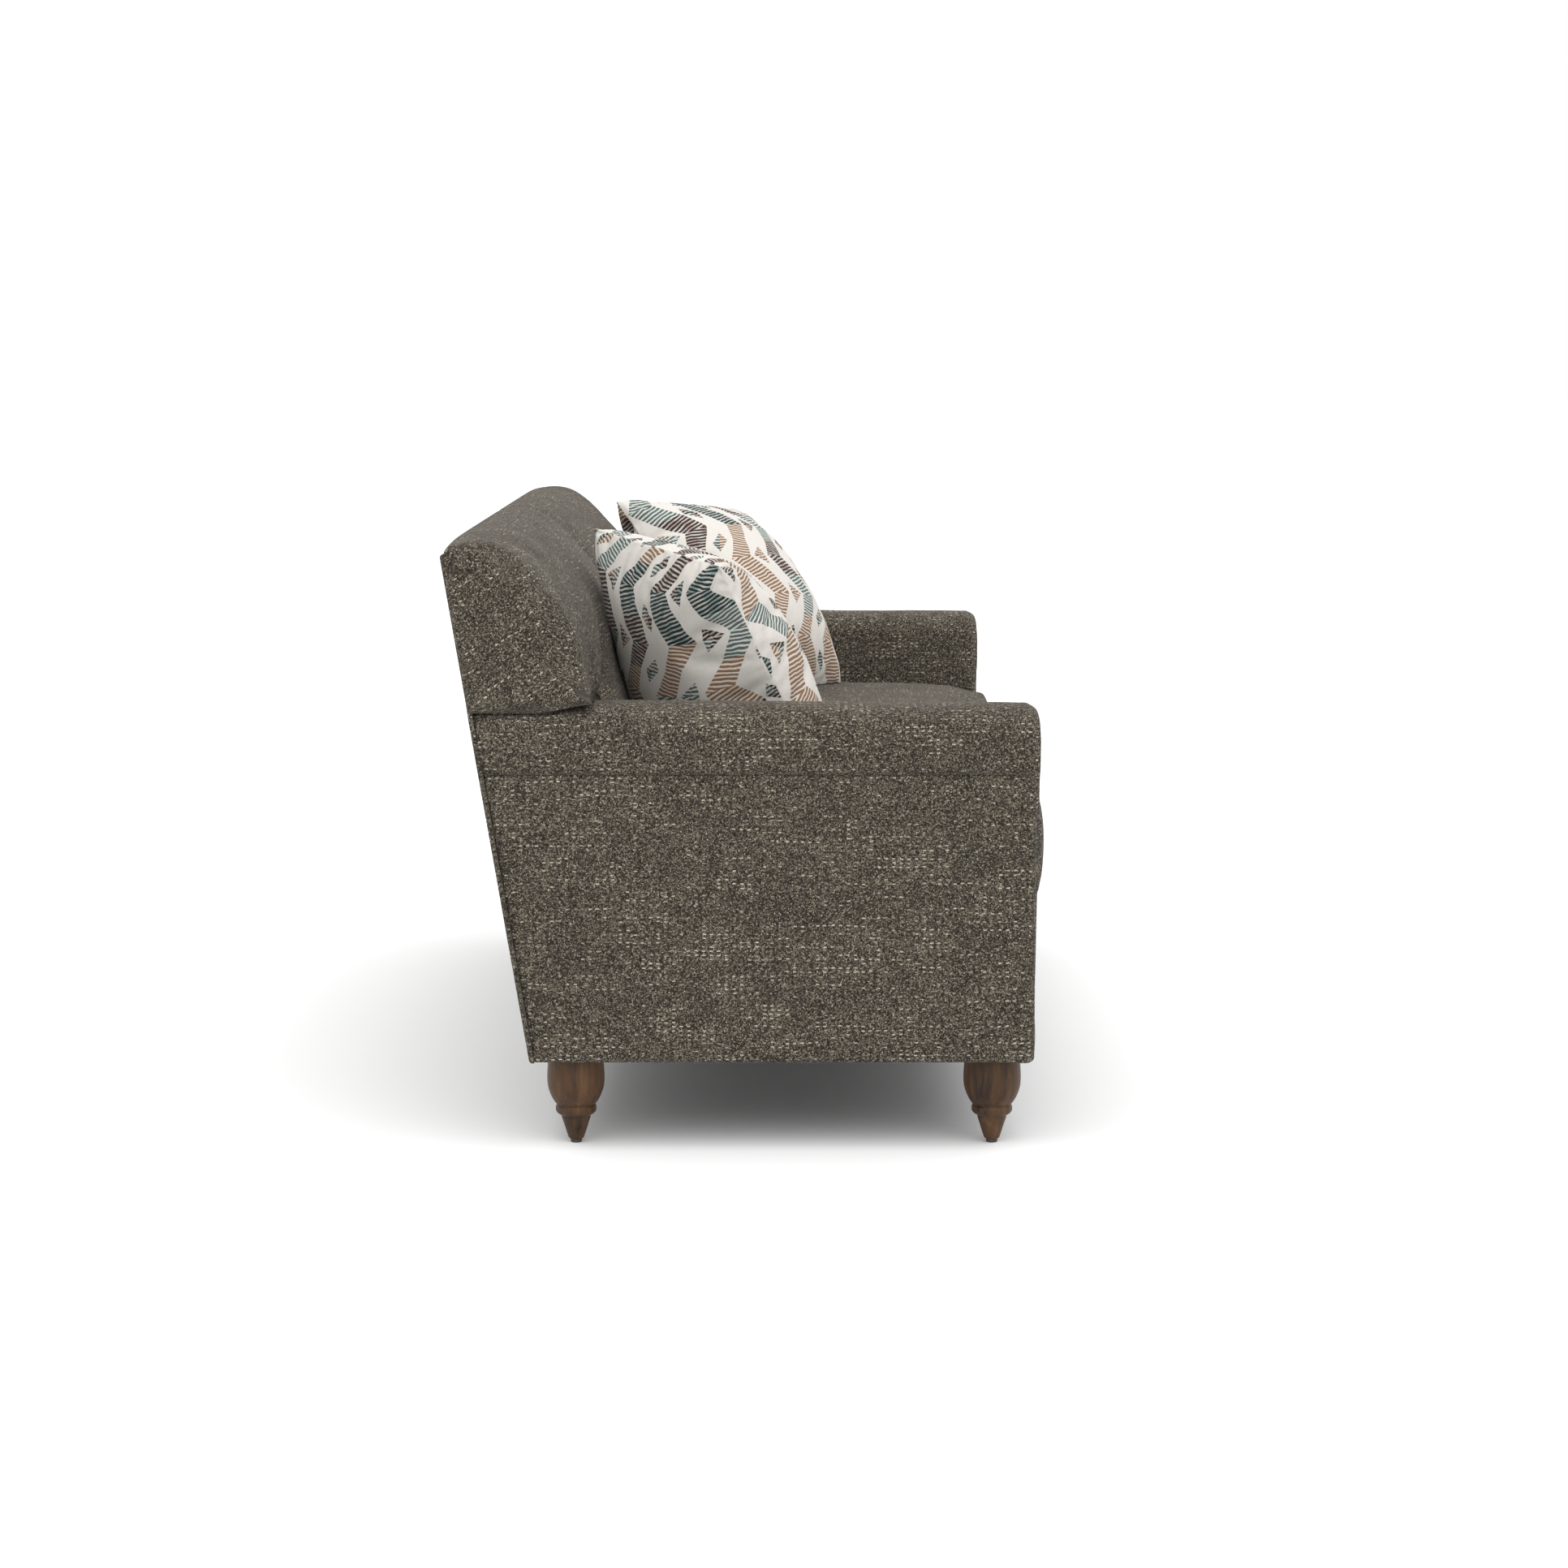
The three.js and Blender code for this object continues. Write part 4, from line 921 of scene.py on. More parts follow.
        drop = edge(z - low, 0.006) + edge(high - z, 0.0025) + edge(rear - y, 0.002) + edge(y - front, 0.0003)
        bulge = 0.0022 * (1 - (2 * t - 1) ** 4) * (1 - (2 * s - 1) ** 6) * smoothstep(s, 0.0, 0.15)
        points = np.stack([face + bulge - np.minimum(drop, self.panel - 0.0004), y, z], axis=-1)
        points[..., 0] += ripple(points, 21, 0.30) * 0.0009 * (1 - (2 * t - 1) ** 8)
        back = points.copy()
        back[..., 0] = face - self.panel
        cloth = np.stack([y, z], axis=-1) + [0.9, 0.2 * self.end]
        skin = Skin(f"outside_panel_{self.name}", self.end).patch(points, cloth).patch(back[::-1], cloth)
        for line in ((slice(0, 1), slice(None)), (slice(-1, None), slice(None))):
            skin.patch(np.concatenate([points[line], back[line]]), np.concatenate([cloth[line]] * 2))
        for line in ((slice(None), slice(0, 1)), (slice(None), slice(-1, None))):
            skin.patch(np.concatenate([points[line], back[line]], axis=1), np.concatenate([cloth[line]] * 2, axis=1))
        return skin

    def facing(self) -> Skin:
        """The padded front: rings of the arm's outline drawn towards its upright middle line.

        Each ring lies a little further in. The first ones turn through a quarter ellipse, which is
        larger over the top, and the cloth there runs on from the arm's side by the length of the ring's path.
        """
        face = SOFA.half_length - SOFA.roll_proud
        arc = resample(self.roll_arc(60), 90)
        outer = np.vstack([
            np.linspace(arc[-1], [face, SOFA.base], 60, endpoint=False),
            np.linspace([face, SOFA.base], [SOFA.arm_inner, SOFA.base], 24)])
        inner = np.vstack([np.linspace([SOFA.arm_inner, SOFA.base], arc[0], 60, endpoint=False), arc])
        skin = Skin(f"arm_facing_{self.name}", self.end)
        rims, backs = [], []
        for outline, along, shift in (
                (outer, outer[:, 1] + np.minimum(outer[:, 0] - face, 0), [0.9, 0.2 * self.end]),
                (inner, lengths(inner) - (self.wall_foot - SOFA.base), [0.37, 0.11 * self.end])):
            points, path, flat = self.rings(outline)
            turned_rings = 15
            band = np.stack([points[0, :, 1] - path, along + 0 * path], axis=-1)[:turned_rings] + shift
            skin.patch(points[:turned_rings], band)
            skin.patch(points[turned_rings - 1:], flat[turned_rings - 1:] + [0.15, 0.4 * self.end])
            rims.append(points[-1])
            backs.append(points[0])
        ring = [np.concatenate([a[:-1], b[:-1]]) for a, b in (rims, backs)]
        return skin.cap(ring[0], ring[0][:, [0, 2]] + [0.15, 0.4 * self.end]).cap(ring[1][::-1])

    def rings(self, outline: Array) -> tuple[Array, Array, Array]:
        """Rings from the facing's back edge round its rim and over its face.

        Args:
            outline: the arm's front outline, or a stretch of it.

        Returns:
            The points, the length of each one's path from the back edge, and flat cloth coordinates.
        """
        half = SOFA.arm_half - 0.002
        spine = np.stack([
            np.full(len(outline), SOFA.arm_middle - 0.003),
            np.clip(outline[:, 1], SOFA.base + half, SOFA.arm_top - half)], axis=1)
        inward = spine - outline
        gap = np.linalg.norm(inward, axis=1, keepdims=True)
        inward /= gap
        top = smoothstep(outline[:, 1], SOFA.shoulder - 0.01, SOFA.arm_top - 0.008)
        low = 1 - smoothstep(outline[:, 1], SOFA.base + 0.002, SOFA.base + 0.03)
        across = 0.0100 + 0.0150 * top + 0.003 * low
        deep = 0.0100 + 0.0055 * top + 0.003 * low
        angle = np.linspace(math.pi / 2, 0.0, 13)[:, None]
        face = np.linspace(0.0, 1.0, 10)[1:, None]
        inset = np.concatenate([0 * across[None] + 0.0002, 0 * across[None], across * (1 - np.sin(angle)),
                                across + (0.064 - across) * face])
        depth = np.concatenate([0 * deep[None] + SOFA.facing, 0 * deep[None] + SOFA.facing - 0.0006, deep * (1 - np.cos(angle)),
                                0 * deep + 0 * face])
        dome = 0.0030 * smoothstep(inset, 0.012, 0.064) + 0.0055 * smoothstep(outline[:, 1], 0.50, 0.60) * smoothstep(inset, 0.0, 0.010)
        flat = outline[None] + inward[None] * np.minimum(inset, gap[:, 0] * 0.9)[..., None]
        points = np.stack([flat[..., 0], SOFA.arm_front + depth - dome, flat[..., 1]], axis=-1)
        points[..., 1] += ripple(points, 31, 0.12) * 0.0008 * smoothstep(inset, 0.012, 0.03)
        steps = np.linalg.norm(np.diff(points, axis=0), axis=-1)
        path = np.concatenate([np.zeros((1, len(outline))), np.cumsum(steps, axis=0)])
        return points, path, flat

    def build(self, finishes: Finishes) -> None:
        """Makes the arm's three covered pieces."""
        finished(self.roll().build(), finishes.tweed, "root", f"arm_pad_{self.name}", fill=0.85)
        finished(self.outside().build(), finishes.tweed, "root", f"outside_arm_{self.name}", fill=0.9)
        finished(self.facing().build(), finishes.tweed, "root", f"arm_front_{self.name}", fill=0.9)


@dataclass
class BackHalf:
    """One padded half of the inside back, which laps over its arm and ends in a soft end face."""

    name: str
    end: float
    seam: float = 0.0005
    outer: float = 0.993
    crown: float = 0.045
    crown_rise: float = 0.012
    crown_start: float = 0.660
    crown_full: float = 0.860
    top_start: float = 0.760
    band: float = 0.712
    frame_inset: float = 0.0880
    notch_top: float = 0.881
    perch: float = 0.975
    lip_rise: float = 0.014
    lap_draw: float = 0.024
    post_outer: float = 0.9872
    end_centre: tuple[float, float] = (0.335, 0.800)
    knots: tuple[tuple[float, float], ...] = (
        (0.163, 0.345), (0.163, 0.450), (0.163, 0.560), (0.1713, 0.5998), (0.188, 0.6395), (0.2033, 0.6792), (0.2186, 0.7104),
        (0.2339, 0.7387), (0.2575, 0.7852), (0.2908, 0.8447), (0.3187, 0.8799), (0.3520, 0.9139), (0.3826, 0.9338),
        (0.4131, 0.9412), (0.4380, 0.9402), (0.4525, 0.9360), (0.4585, 0.9285))
    rounds: dict[str, float] = field(default_factory=lambda: {"front": 0.036, "corner": 0.042, "rear": 0.010, "low": 0.016})
    pull: tuple[tuple[float, float], tuple[float, float]] = ((0.858, 0.690), (0.46, 0.885))

    def swell(self, x: Array) -> Array:
        """How far the half swells: nothing at its ends and full over its middle, 1 - |2 share - 1| cubed."""
        share = np.clip((x - self.seam) / (self.outer - self.seam), 0.0, 1.0)
        return 1.0 - np.abs(2.0 * share - 1.0) ** 3

    def sections(self, x: Array) -> tuple[Array, Array, Array]:
        """The closed side outlines at stations along the sofa.

        The front and top follow the knots' curve, moved forward and up by the swell, and pulled in along the fold.

        Args:
            x: the stations.

        Returns:
            Points as (station, place round the outline, 3), the length round each, and the end round of each place.
        """
        z_low = np.where(x < SOFA.arm_inner, SOFA.deck_bottom, SOFA.roll_height(np.minimum(x, self.perch)) + 0.0010)[:, None]
        dense = smooth_path(np.array(self.knots), 900)
        height = dense[:, 1]
        peak = int(height.argmax())
        low = spaced((0.0, 1.0, 30))[None, :]
        lip = self.lip_rise * smoothstep(x, SOFA.arm_middle, self.perch)[:, None]
        z1 = z_low + lip + (self.band - z_low - lip) * low
        y1 = np.interp(z1, height[:peak], dense[:peak, 0])
        upper = resample(dense[int(np.searchsorted(height[:peak], self.band)):], 76)[1:]
        y2, z2 = (np.broadcast_to(c, (len(x), len(upper))) for c in upper.T)
        y, z = np.hstack([y1, y2]), np.hstack([z1, z2])
        swell = self.swell(x)[:, None]
        share = (x[:, None] - self.seam) / (self.outer - self.seam)
        puff = (0.75 + 0.25 * smoothstep(share, 0.0, 0.05)) * (1.0 - share ** 12)
        forward = smoothstep(z, self.crown_start, self.crown_full)
        top = smoothstep(z, self.top_start, SOFA.back_height)
        rear_fade = 1.0 - smoothstep(y, 0.40, 0.455)
        y = y - self.crown * forward * (1 - 0.6 * top) * swell * rear_fade
        z = z + self.crown_rise * top * puff * (0.6 + 0.4 * rear_fade)
        y = y + self.fold(np.broadcast_to(x[:, None], z.shape), z)
        z_rear = np.linspace(SOFA.back_top_height - 0.004, self.notch_top, 6)[None, :] + 0 * x[:, None]
        closed = (x > self.post_outer)[:, None]
        y_rear = SOFA.rear_line(z_rear, 0.0) - np.where(closed, 0.0006, SOFA.skin + 0.0006) / math.cos(SOFA.rake)
        inset = np.where(closed, 0.0006, self.frame_inset)
        z_in = self.notch_top + (z_low - self.notch_top) * np.linspace(0.0, 1.0, 14)[None, :]
        y_in = SOFA.rear_line(z_in, 0.0) - inset / math.cos(SOFA.rake)
        foot = np.linspace(0.0, 1.0, 9)[None, 1:]
        y_low = y_in[:, -1:] + (y[:, :1] - y_in[:, -1:]) * foot
        z_foot = z_low + lip * smoothstep(foot, 0.1, 1.0)
        ys, zs = np.hstack([y, y_rear, y_in, y_low]), np.hstack([z, z_rear, z_in, z_foot])
        points = np.stack([x[:, None] + 0 * ys, ys, zs], axis=-1)
        count = [y.shape[1], y_rear.shape[1], y_in.shape[1], y_low.shape[1]]
        radius = np.repeat([self.rounds["front"], self.rounds["rear"], self.rounds["rear"], self.rounds["low"]], count)
        radius[:30] = np.linspace(self.rounds["low"], self.rounds["corner"], 30)
        radius[30:50] = np.linspace(self.rounds["corner"], self.rounds["front"], 20)
        tail = count[0] - 10
        radius[tail:count[0]] = np.linspace(self.rounds["front"] * 0.6, self.rounds["rear"], 10)
        steps = np.linalg.norm(np.diff(points[:, :, 1:], axis=1), axis=-1)
        around = np.concatenate([np.zeros((len(x), 1)), np.cumsum(steps, axis=1)], axis=1)
        return points, around, radius

    def fold(self, x: Array, z: Array) -> Array:
        """How far the cover is pulled back along the fold that runs up and in from the arm.

        The depth falls off as a bell across the fold and fades along it.
        """
        (x0, z0), (x1, z1) = self.pull
        run = np.array([x1 - x0, z1 - z0])
        length = float(np.linalg.norm(run))
        run /= length
        along = ((x - x0) * run[0] + (z - z0) * run[1]) / length
        off = (x - x0) * -run[1] + (z - z0) * run[0]
        width = 0.020 + 0.022 * np.clip(along, 0, 1)
        fade = (1 - smoothstep(along, 0.15, 1.0)) * smoothstep(along, -0.25, 0.05)
        tuck = 0.006 * np.exp(-((x - SOFA.arm_inner) / 0.014) ** 2) * (1 - smoothstep(z, 0.62, 0.80))
        lap = self.lap_draw * smoothstep(x, SOFA.arm_inner, 0.905) * (1 - smoothstep(z, 0.69, 0.82))
        return 0.026 * np.exp(-(off / width) ** 2) * fade + tuck + lap

    def spine(self, outline: Array) -> Array:
        """The middle line of the end face, which its rings close on, for each place round the outline."""
        z = np.clip(outline[:, 1], 0.755, 0.885)
        return np.stack([0.318 + (z - 0.755) * 0.42, z], axis=1)

    def build_skin(self) -> Skin:
        """Lofts the half, rounds both ends and closes the outer one with domed rings."""
        reach = self.rounds["front"]
        x = spaced((self.seam, 0.012, 7), (0.012, 0.80, 62), (0.80, 0.8466, 6), (0.8466, 0.8474, 1), (0.8474, self.outer - reach, 12),
                   (self.outer - reach, self.post_outer, 14), (self.post_outer, self.outer, 8))
        points, around, radius = self.sections(x)
        spine = np.stack([self.spine(p[:, 1:]) for p in points])
        inward = spine - points[..., 1:]
        inward /= np.linalg.norm(inward, axis=-1, keepdims=True)
        near = np.clip((x[:, None] - (self.outer - radius)) / radius, 0.0, 1.0)
        inset = radius * (1 - np.sqrt(1 - near ** 2))
        hidden = (np.arange(points.shape[1]) >= len(radius) - 22)[None, :] & (x < self.post_outer)[:, None]
        seam_round = 0.0050 * np.clip(1 - (x[:, None] - self.seam) / 0.0075, 0, 1) ** 2
        inset = np.where(hidden, 0.0, inset + seam_round)
        points[..., 1:] += inward * inset[..., None]
        soft = ripple(points, 41, 0.17) * 0.0018 + ripple(points, 42, 0.06) * 0.0006
        shown = smoothstep(points[..., 2], 0.60, 0.72) * (1 - smoothstep(points[..., 1], 0.40, 0.44))
        shown = shown * smoothstep(x, self.seam, 0.05)[:, None] * (1 - smoothstep(x, 0.955, 0.985))[:, None]
        points[..., 1:] += inward * (soft * shown)[..., None]
        steps = np.linalg.norm(np.diff(points, axis=0), axis=-1)
        across = np.concatenate([np.zeros((1, points.shape[1])), np.cumsum(steps, axis=0)])
        cloth = np.stack([across, around], axis=-1) + [0.2 * self.end, 0.6]
        skin = Skin(f"inside_back_pad_{self.name}", self.end).patch(points, cloth)
        rim = points[-1, :, 1:]
        share = np.linspace(0.0, 1.0, 16)[:, None, None]
        centre = np.array(self.end_centre)
        flat = rim[None] + (centre - rim[None]) * share
        dome = self.outer + 0.0030 * (1 - (1 - share[..., 0]) ** 2) + 0 * flat[..., 0]
        face = np.concatenate([dome[..., None], flat], axis=-1)
        face[1:, :, 0] += (ripple(face, 43, 0.15) * 0.0009)[1:]
        skin.patch(face, turned(flat.reshape(-1, 2), 32.0).reshape(flat.shape) + [0.5, 0.3])
        return skin.cap(points[0, :-1])

    def build(self, finishes: Finishes) -> bpy.types.Object:
        """Makes the half and gives it back, for the pillows to lean on."""
        piece = self.build_skin().build()
        return finished(piece, finishes.tweed, "root", f"inside_back_{self.name}", fill=0.8)


@dataclass
class SeatBase:
    """The outside back, the apron and the deck under the cushions."""

    back_half: float = 0.9925
    apron_face: float = -0.445

    def slab(self, name: str, corners: Callable[[Array, Array], Array], thickness: Array, rounding: float,
             size: tuple[float, float], normal: Array, seed: int) -> Skin:
        """A padded board: a grid that bulges a little, rounded at its edges, on a flat back.

        The face lies a thickness in front of the back, less a quarter circle at the edges, plus a slow ripple.

        Args:
            name: the piece's name.
            corners: gives the back's points for two shares.
            thickness: how thick it is.
            rounding: its edges' radius.
            size: its two lengths.
            normal: the way that it faces.
            seed: for the ripple.

        Returns:
            The surface, ready to build.
        """
        s, t = np.meshgrid(edged(size[0], rounding, 110), edged(size[1], rounding, 60), indexing="ij")
        back = corners(s, t)
        near = np.minimum.reduce([s * size[0], (1 - s) * size[0], t * size[1], (1 - t) * size[1]])
        drop = rounding * (1 - np.sqrt(1 - np.clip(1 - near / rounding, 0, 1) ** 2))
        soft = ripple(back, seed, 0.28) * 0.0010 * smoothstep(near, 0.0, 0.05)
        lift = np.maximum(thickness - drop, 0.0004) + soft
        face = back + normal * lift[..., None]
        cloth = np.stack([measured(face, 0), measured(face, 1)], axis=-1) + [0.1 * seed, 0.07 * seed]
        skin = Skin(name).patch(face, cloth).patch(back[::-1], cloth[::-1])
        for axis in (0, 1):
            for place in (0, -1):
                rim = [np.take(grid, [place], axis=axis) for grid in (face, back)]
                edge = np.take(cloth, [place], axis=axis)
                band = [edge, edge + np.eye(2)[axis] * np.linalg.norm(rim[0] - rim[1], axis=-1, keepdims=True)]
                skin.patch(np.concatenate(rim, axis=axis), np.concatenate(band, axis=axis))
        return skin

    def outside_back(self) -> Skin:
        """The flat raked cloth panel on the rear."""
        height = (SOFA.back_top_height - SOFA.base) / math.cos(SOFA.rake)
        up = np.array([0.0, math.sin(SOFA.rake), math.cos(SOFA.rake)])
        out = np.array([0.0, math.cos(SOFA.rake), -math.sin(SOFA.rake)])
        foot = np.array([0.0, SOFA.back_foot, SOFA.base]) - out * SOFA.skin

        def corners(s: Array, t: Array) -> Array:
            """Points of the panel's inner face."""
            x = (2 * s - 1) * (self.back_half - 0.0068 * smoothstep(t * height, 0.545, 0.560))
            return foot + up * (t * height)[..., None] + np.stack([x, 0 * x, 0 * x], axis=-1)

        return self.slab("outside_back_panel", corners, SOFA.skin, 0.006, (2 * self.back_half, height), out, 5)

    def apron(self) -> Skin:
        """The padded front rail between the arms: an outline of the rail carried along X and swollen at its middle."""
        outline = smooth_path(np.array([
            [-0.4210, 0.1388], [-0.4330, 0.1386], [-0.4415, 0.1411], [-0.4448, 0.1490], [-0.4452, 0.19], [-0.4452, 0.26],
            [-0.4448, 0.335], [-0.4440, 0.356], [-0.4410, 0.3665], [-0.4345, 0.3722], [-0.4240, 0.3732], [-0.40, 0.3728],
            [-0.3715, 0.3724]]), 90)
        tail = np.array([[-0.3712, 0.352], [-0.4100, 0.3515], [-0.4100, 0.3195], [-0.4210, 0.3190], [-0.4210, 0.1388]])
        outline = np.vstack([outline, tail])
        half = SOFA.arm_inner - 0.0006
        x = spaced((-half, -half + 0.01, 5), (-half + 0.01, half - 0.01, 110), (half - 0.01, half, 5))[:, None]
        y, z = outline[None, :, 0] + 0 * x, outline[None, :, 1] + 0 * x
        points = np.stack([x + 0 * y, y, z], axis=-1)
        front = smoothstep(-y, 0.435, 0.444) * smoothstep(z, 0.150, 0.180) * (1 - smoothstep(z, 0.33, 0.36))
        points[..., 1] -= front * (0.0020 + 0.0014 * ripple(points, 51, 0.30))
        cloth = np.stack([x + 0 * y, lengths(outline)[None] + 0 * x], axis=-1)
        skin = Skin("front_apron_pad").patch(points, cloth)
        return skin.cap(points[0, :-1]).cap(points[-1, :-1][::-1])

    def deck(self) -> Skin:
        """The lining-covered platform that the cushions lie on."""
        low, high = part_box("seat_deck")
        width, depth = high[0] - low[0], high[1] - low[1]

        def corners(s: Array, t: Array) -> Array:
            """Points of the deck's underside."""
            return np.stack([low[0] + s * width, low[1] + t * depth, low[2] + 0 * s], axis=-1)

        return self.slab("spring_deck", corners, high[2] - low[2] - 0.0012, 0.008, (width, depth), np.array([0.0, 0.0, 1.0]), 6)

    def build(self, finishes: Finishes) -> None:
        """Makes the pieces of the base."""
        finished(self.outside_back().build(), finishes.tweed, "root", "outside_back", fill=0.95)
        finished(self.apron().build(), finishes.tweed, "root", "front_apron", fill=0.9)
        finished(self.deck().build(), finishes.lining, "root", "seat_deck", fill=0.9)


def edged(length: float, rounding: float, count: int) -> Array:
    """Shares from 0 to 1 that crowd towards both ends, to carry a rounding of that radius."""
    edge = rounding / length
    rise = 1 - np.cos(np.linspace(0, math.pi / 2, 7))
    return np.concatenate([edge * rise[:-1], np.linspace(edge, 1 - edge, count), 1 - edge * rise[:-1][::-1]])


@dataclass
class SeatCushion:
    """A boxed seat cushion: crowned top and plain bottom sewn to a border, filled until the panels swell."""

    name: str
    end: float
    half_width: float = 0.42225
    half_depth: float = 0.3165
    middle: tuple[float, float] = (0.42325, -0.1545)
    low: float = 0.3737
    high: float = 0.5330
    crown: float = 0.026
    corner: float = 0.030
    inset: float = 0.0065
    stuffing: Stuffing = Stuffing(4.0, 16, 0.0085, 0.012, 12.0, 0.4)

    def plan(self, a: Array, b: Array) -> tuple[Array, Array]:
        """Places in plan for two shares from -1 to 1: a rectangle whose corners are rounded in and sides drawn in."""
        corner = (np.abs(a) * np.abs(b)) ** 14 * self.corner * 0.29
        draw = 0.0035
        x = np.sign(a) * (np.abs(a) * (self.half_width - self.inset - draw * (1 - b * b)) - corner)
        y = np.sign(b) * (np.abs(b) * (self.half_depth - self.inset - draw * (1 - a * a)) - corner)
        return self.middle[0] + x, self.middle[1] + y

    def case(self) -> tuple[Skin, Callable[[Array], Array]]:
        """The sewn case before it is filled.

        Returns:
            The surface.
        """
        count = 88, 68
        a, b = np.meshgrid(np.sin(np.linspace(-1, 1, count[0]) * 1.35) / math.sin(1.35),
                           np.sin(np.linspace(-1, 1, count[1]) * 1.35) / math.sin(1.35), indexing="ij")
        x, y = self.plan(a, b)
        dip = 0.004
        seam_high = self.high - dip * (1 - np.maximum(np.abs(a), np.abs(b)) ** 2)
        top = self.high + self.crown * (1 - a ** 6) * (1 - b ** 4) + 0 * seam_high
        base = self.low + 0.002 + 0 * a
        skin = Skin(f"seat_cushion_{self.name}", self.end)
        flat = np.stack([x, y], axis=-1)
        skin.patch(np.stack([x, y, top], axis=-1), flat + [0.05, 0.8])
        skin.patch(np.stack([x, y, base], axis=-1)[::-1], flat[::-1] + [0.05, 0.1])
        ring = np.concatenate([flat[:, 0], flat[-1, 1:], flat[::-1, -1][1:], flat[0, ::-1][1:]])
        height = spaced((0.0, 1.0, 22))
        swell = np.sin(math.pi * height)[:, None, None] * 0.0035
        away = ring - np.array(self.middle)
        away /= np.linalg.norm(away, axis=1, keepdims=True)
        round_ring = ring[None] + away[None] * swell
        z = (self.low + 0.002) + (self.high - self.low - 0.002) * height[:, None] + 0 * ring[None, :, 0]
        border = np.concatenate([round_ring, z[..., None]], axis=-1)
        cloth = np.stack([lengths(ring)[None] + 0 * z, z], axis=-1) + [0.4, 0.9]
        skin.patch(border, cloth)
        return skin

    def fill(self, piece: bpy.types.Object) -> None:
        """Fills the case, then rests it on the deck and between its neighbours."""
        points = places(piece)
        plan = points[:, :2] * [self.end, 1.0] - np.array(self.middle)
        rim = np.maximum(np.abs(plan[:, 0]) / (self.half_width - self.inset), np.abs(plan[:, 1]) / (self.half_depth - self.inset))
        levels = np.isclose(points[:, 2], self.high, atol=4e-4) | np.isclose(points[:, 2], self.low + 0.002, atol=4e-4)
        held = ((rim > 0.975) & levels).astype(float)
        held[(points[:, 2] < self.low + 0.0025)] = 1.0
        self.stuffing.fill(piece, held)
        points = places(piece)
        x = np.clip(points[:, 0] * self.end, 0.0009, 2 * self.middle[0] - 0.0009)
        y = np.minimum(points[:, 1], self.middle[1] + self.half_depth - 0.0008)
        z = np.maximum(points[:, 2], self.low)
        move_to(piece, np.stack([x * self.end, y, z], axis=1))

    def zip(self, finishes: Finishes) -> bpy.types.Object:
        """The zip in the rear border: a row of small teeth on a tape, as one grid that steps in and out."""
        low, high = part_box(f"seat_cushion_zip_{self.name}")
        count = 128
        x = np.linspace(low[0], high[0], count * 4 + 1)[:, None]
        t = np.linspace(0.0, 1.0, 9)[None, :]
        z = low[2] + (high[2] - low[2]) * t + 0 * x
        step = (np.arange(count * 4 + 1) // 2 % 2)[:, None]
        ridge = (np.abs(t - 0.5) < 0.2) * (0.0006 + 0.0006 * step)
        front = high[1] - 0.0016 + 0 * z
        rear = high[1] - 0.0012 + ridge + 0 * z
        skin = Skin(f"cushion_zip_{self.name}")
        face, under = (np.stack([x + 0 * z, y, z], axis=-1) for y in (rear, front))
        cloth = np.stack([x + 0 * z, z], axis=-1)
        skin.patch(face, cloth).patch(under[::-1], cloth[::-1])
        for axis in (0, 1):
            for place in (0, -1):
                rim = [np.take(grid, [place], axis=axis) for grid in (face, under)]
                skin.patch(np.concatenate(rim, axis=axis), np.concatenate([np.take(cloth, [place], axis=axis)] * 2, axis=axis))
        piece = skin.build()
        return finished(piece, finishes.zip, f"seat_cushion_{self.name}", f"seat_cushion_zip_{self.name}")

    def build(self, finishes: Finishes) -> bpy.types.Object:
        """Makes the cushion and its zip, and gives back the cushion."""
        piece = self.case().build()
        self.fill(piece)
        body = f"seat_cushion_{self.name}"
        finished(piece, finishes.tweed, body, f"seat_cushion_cover_{self.name}", f"seat_cushion_core_{self.name}", fill=0.85)
        self.zip(finishes)
        return piece


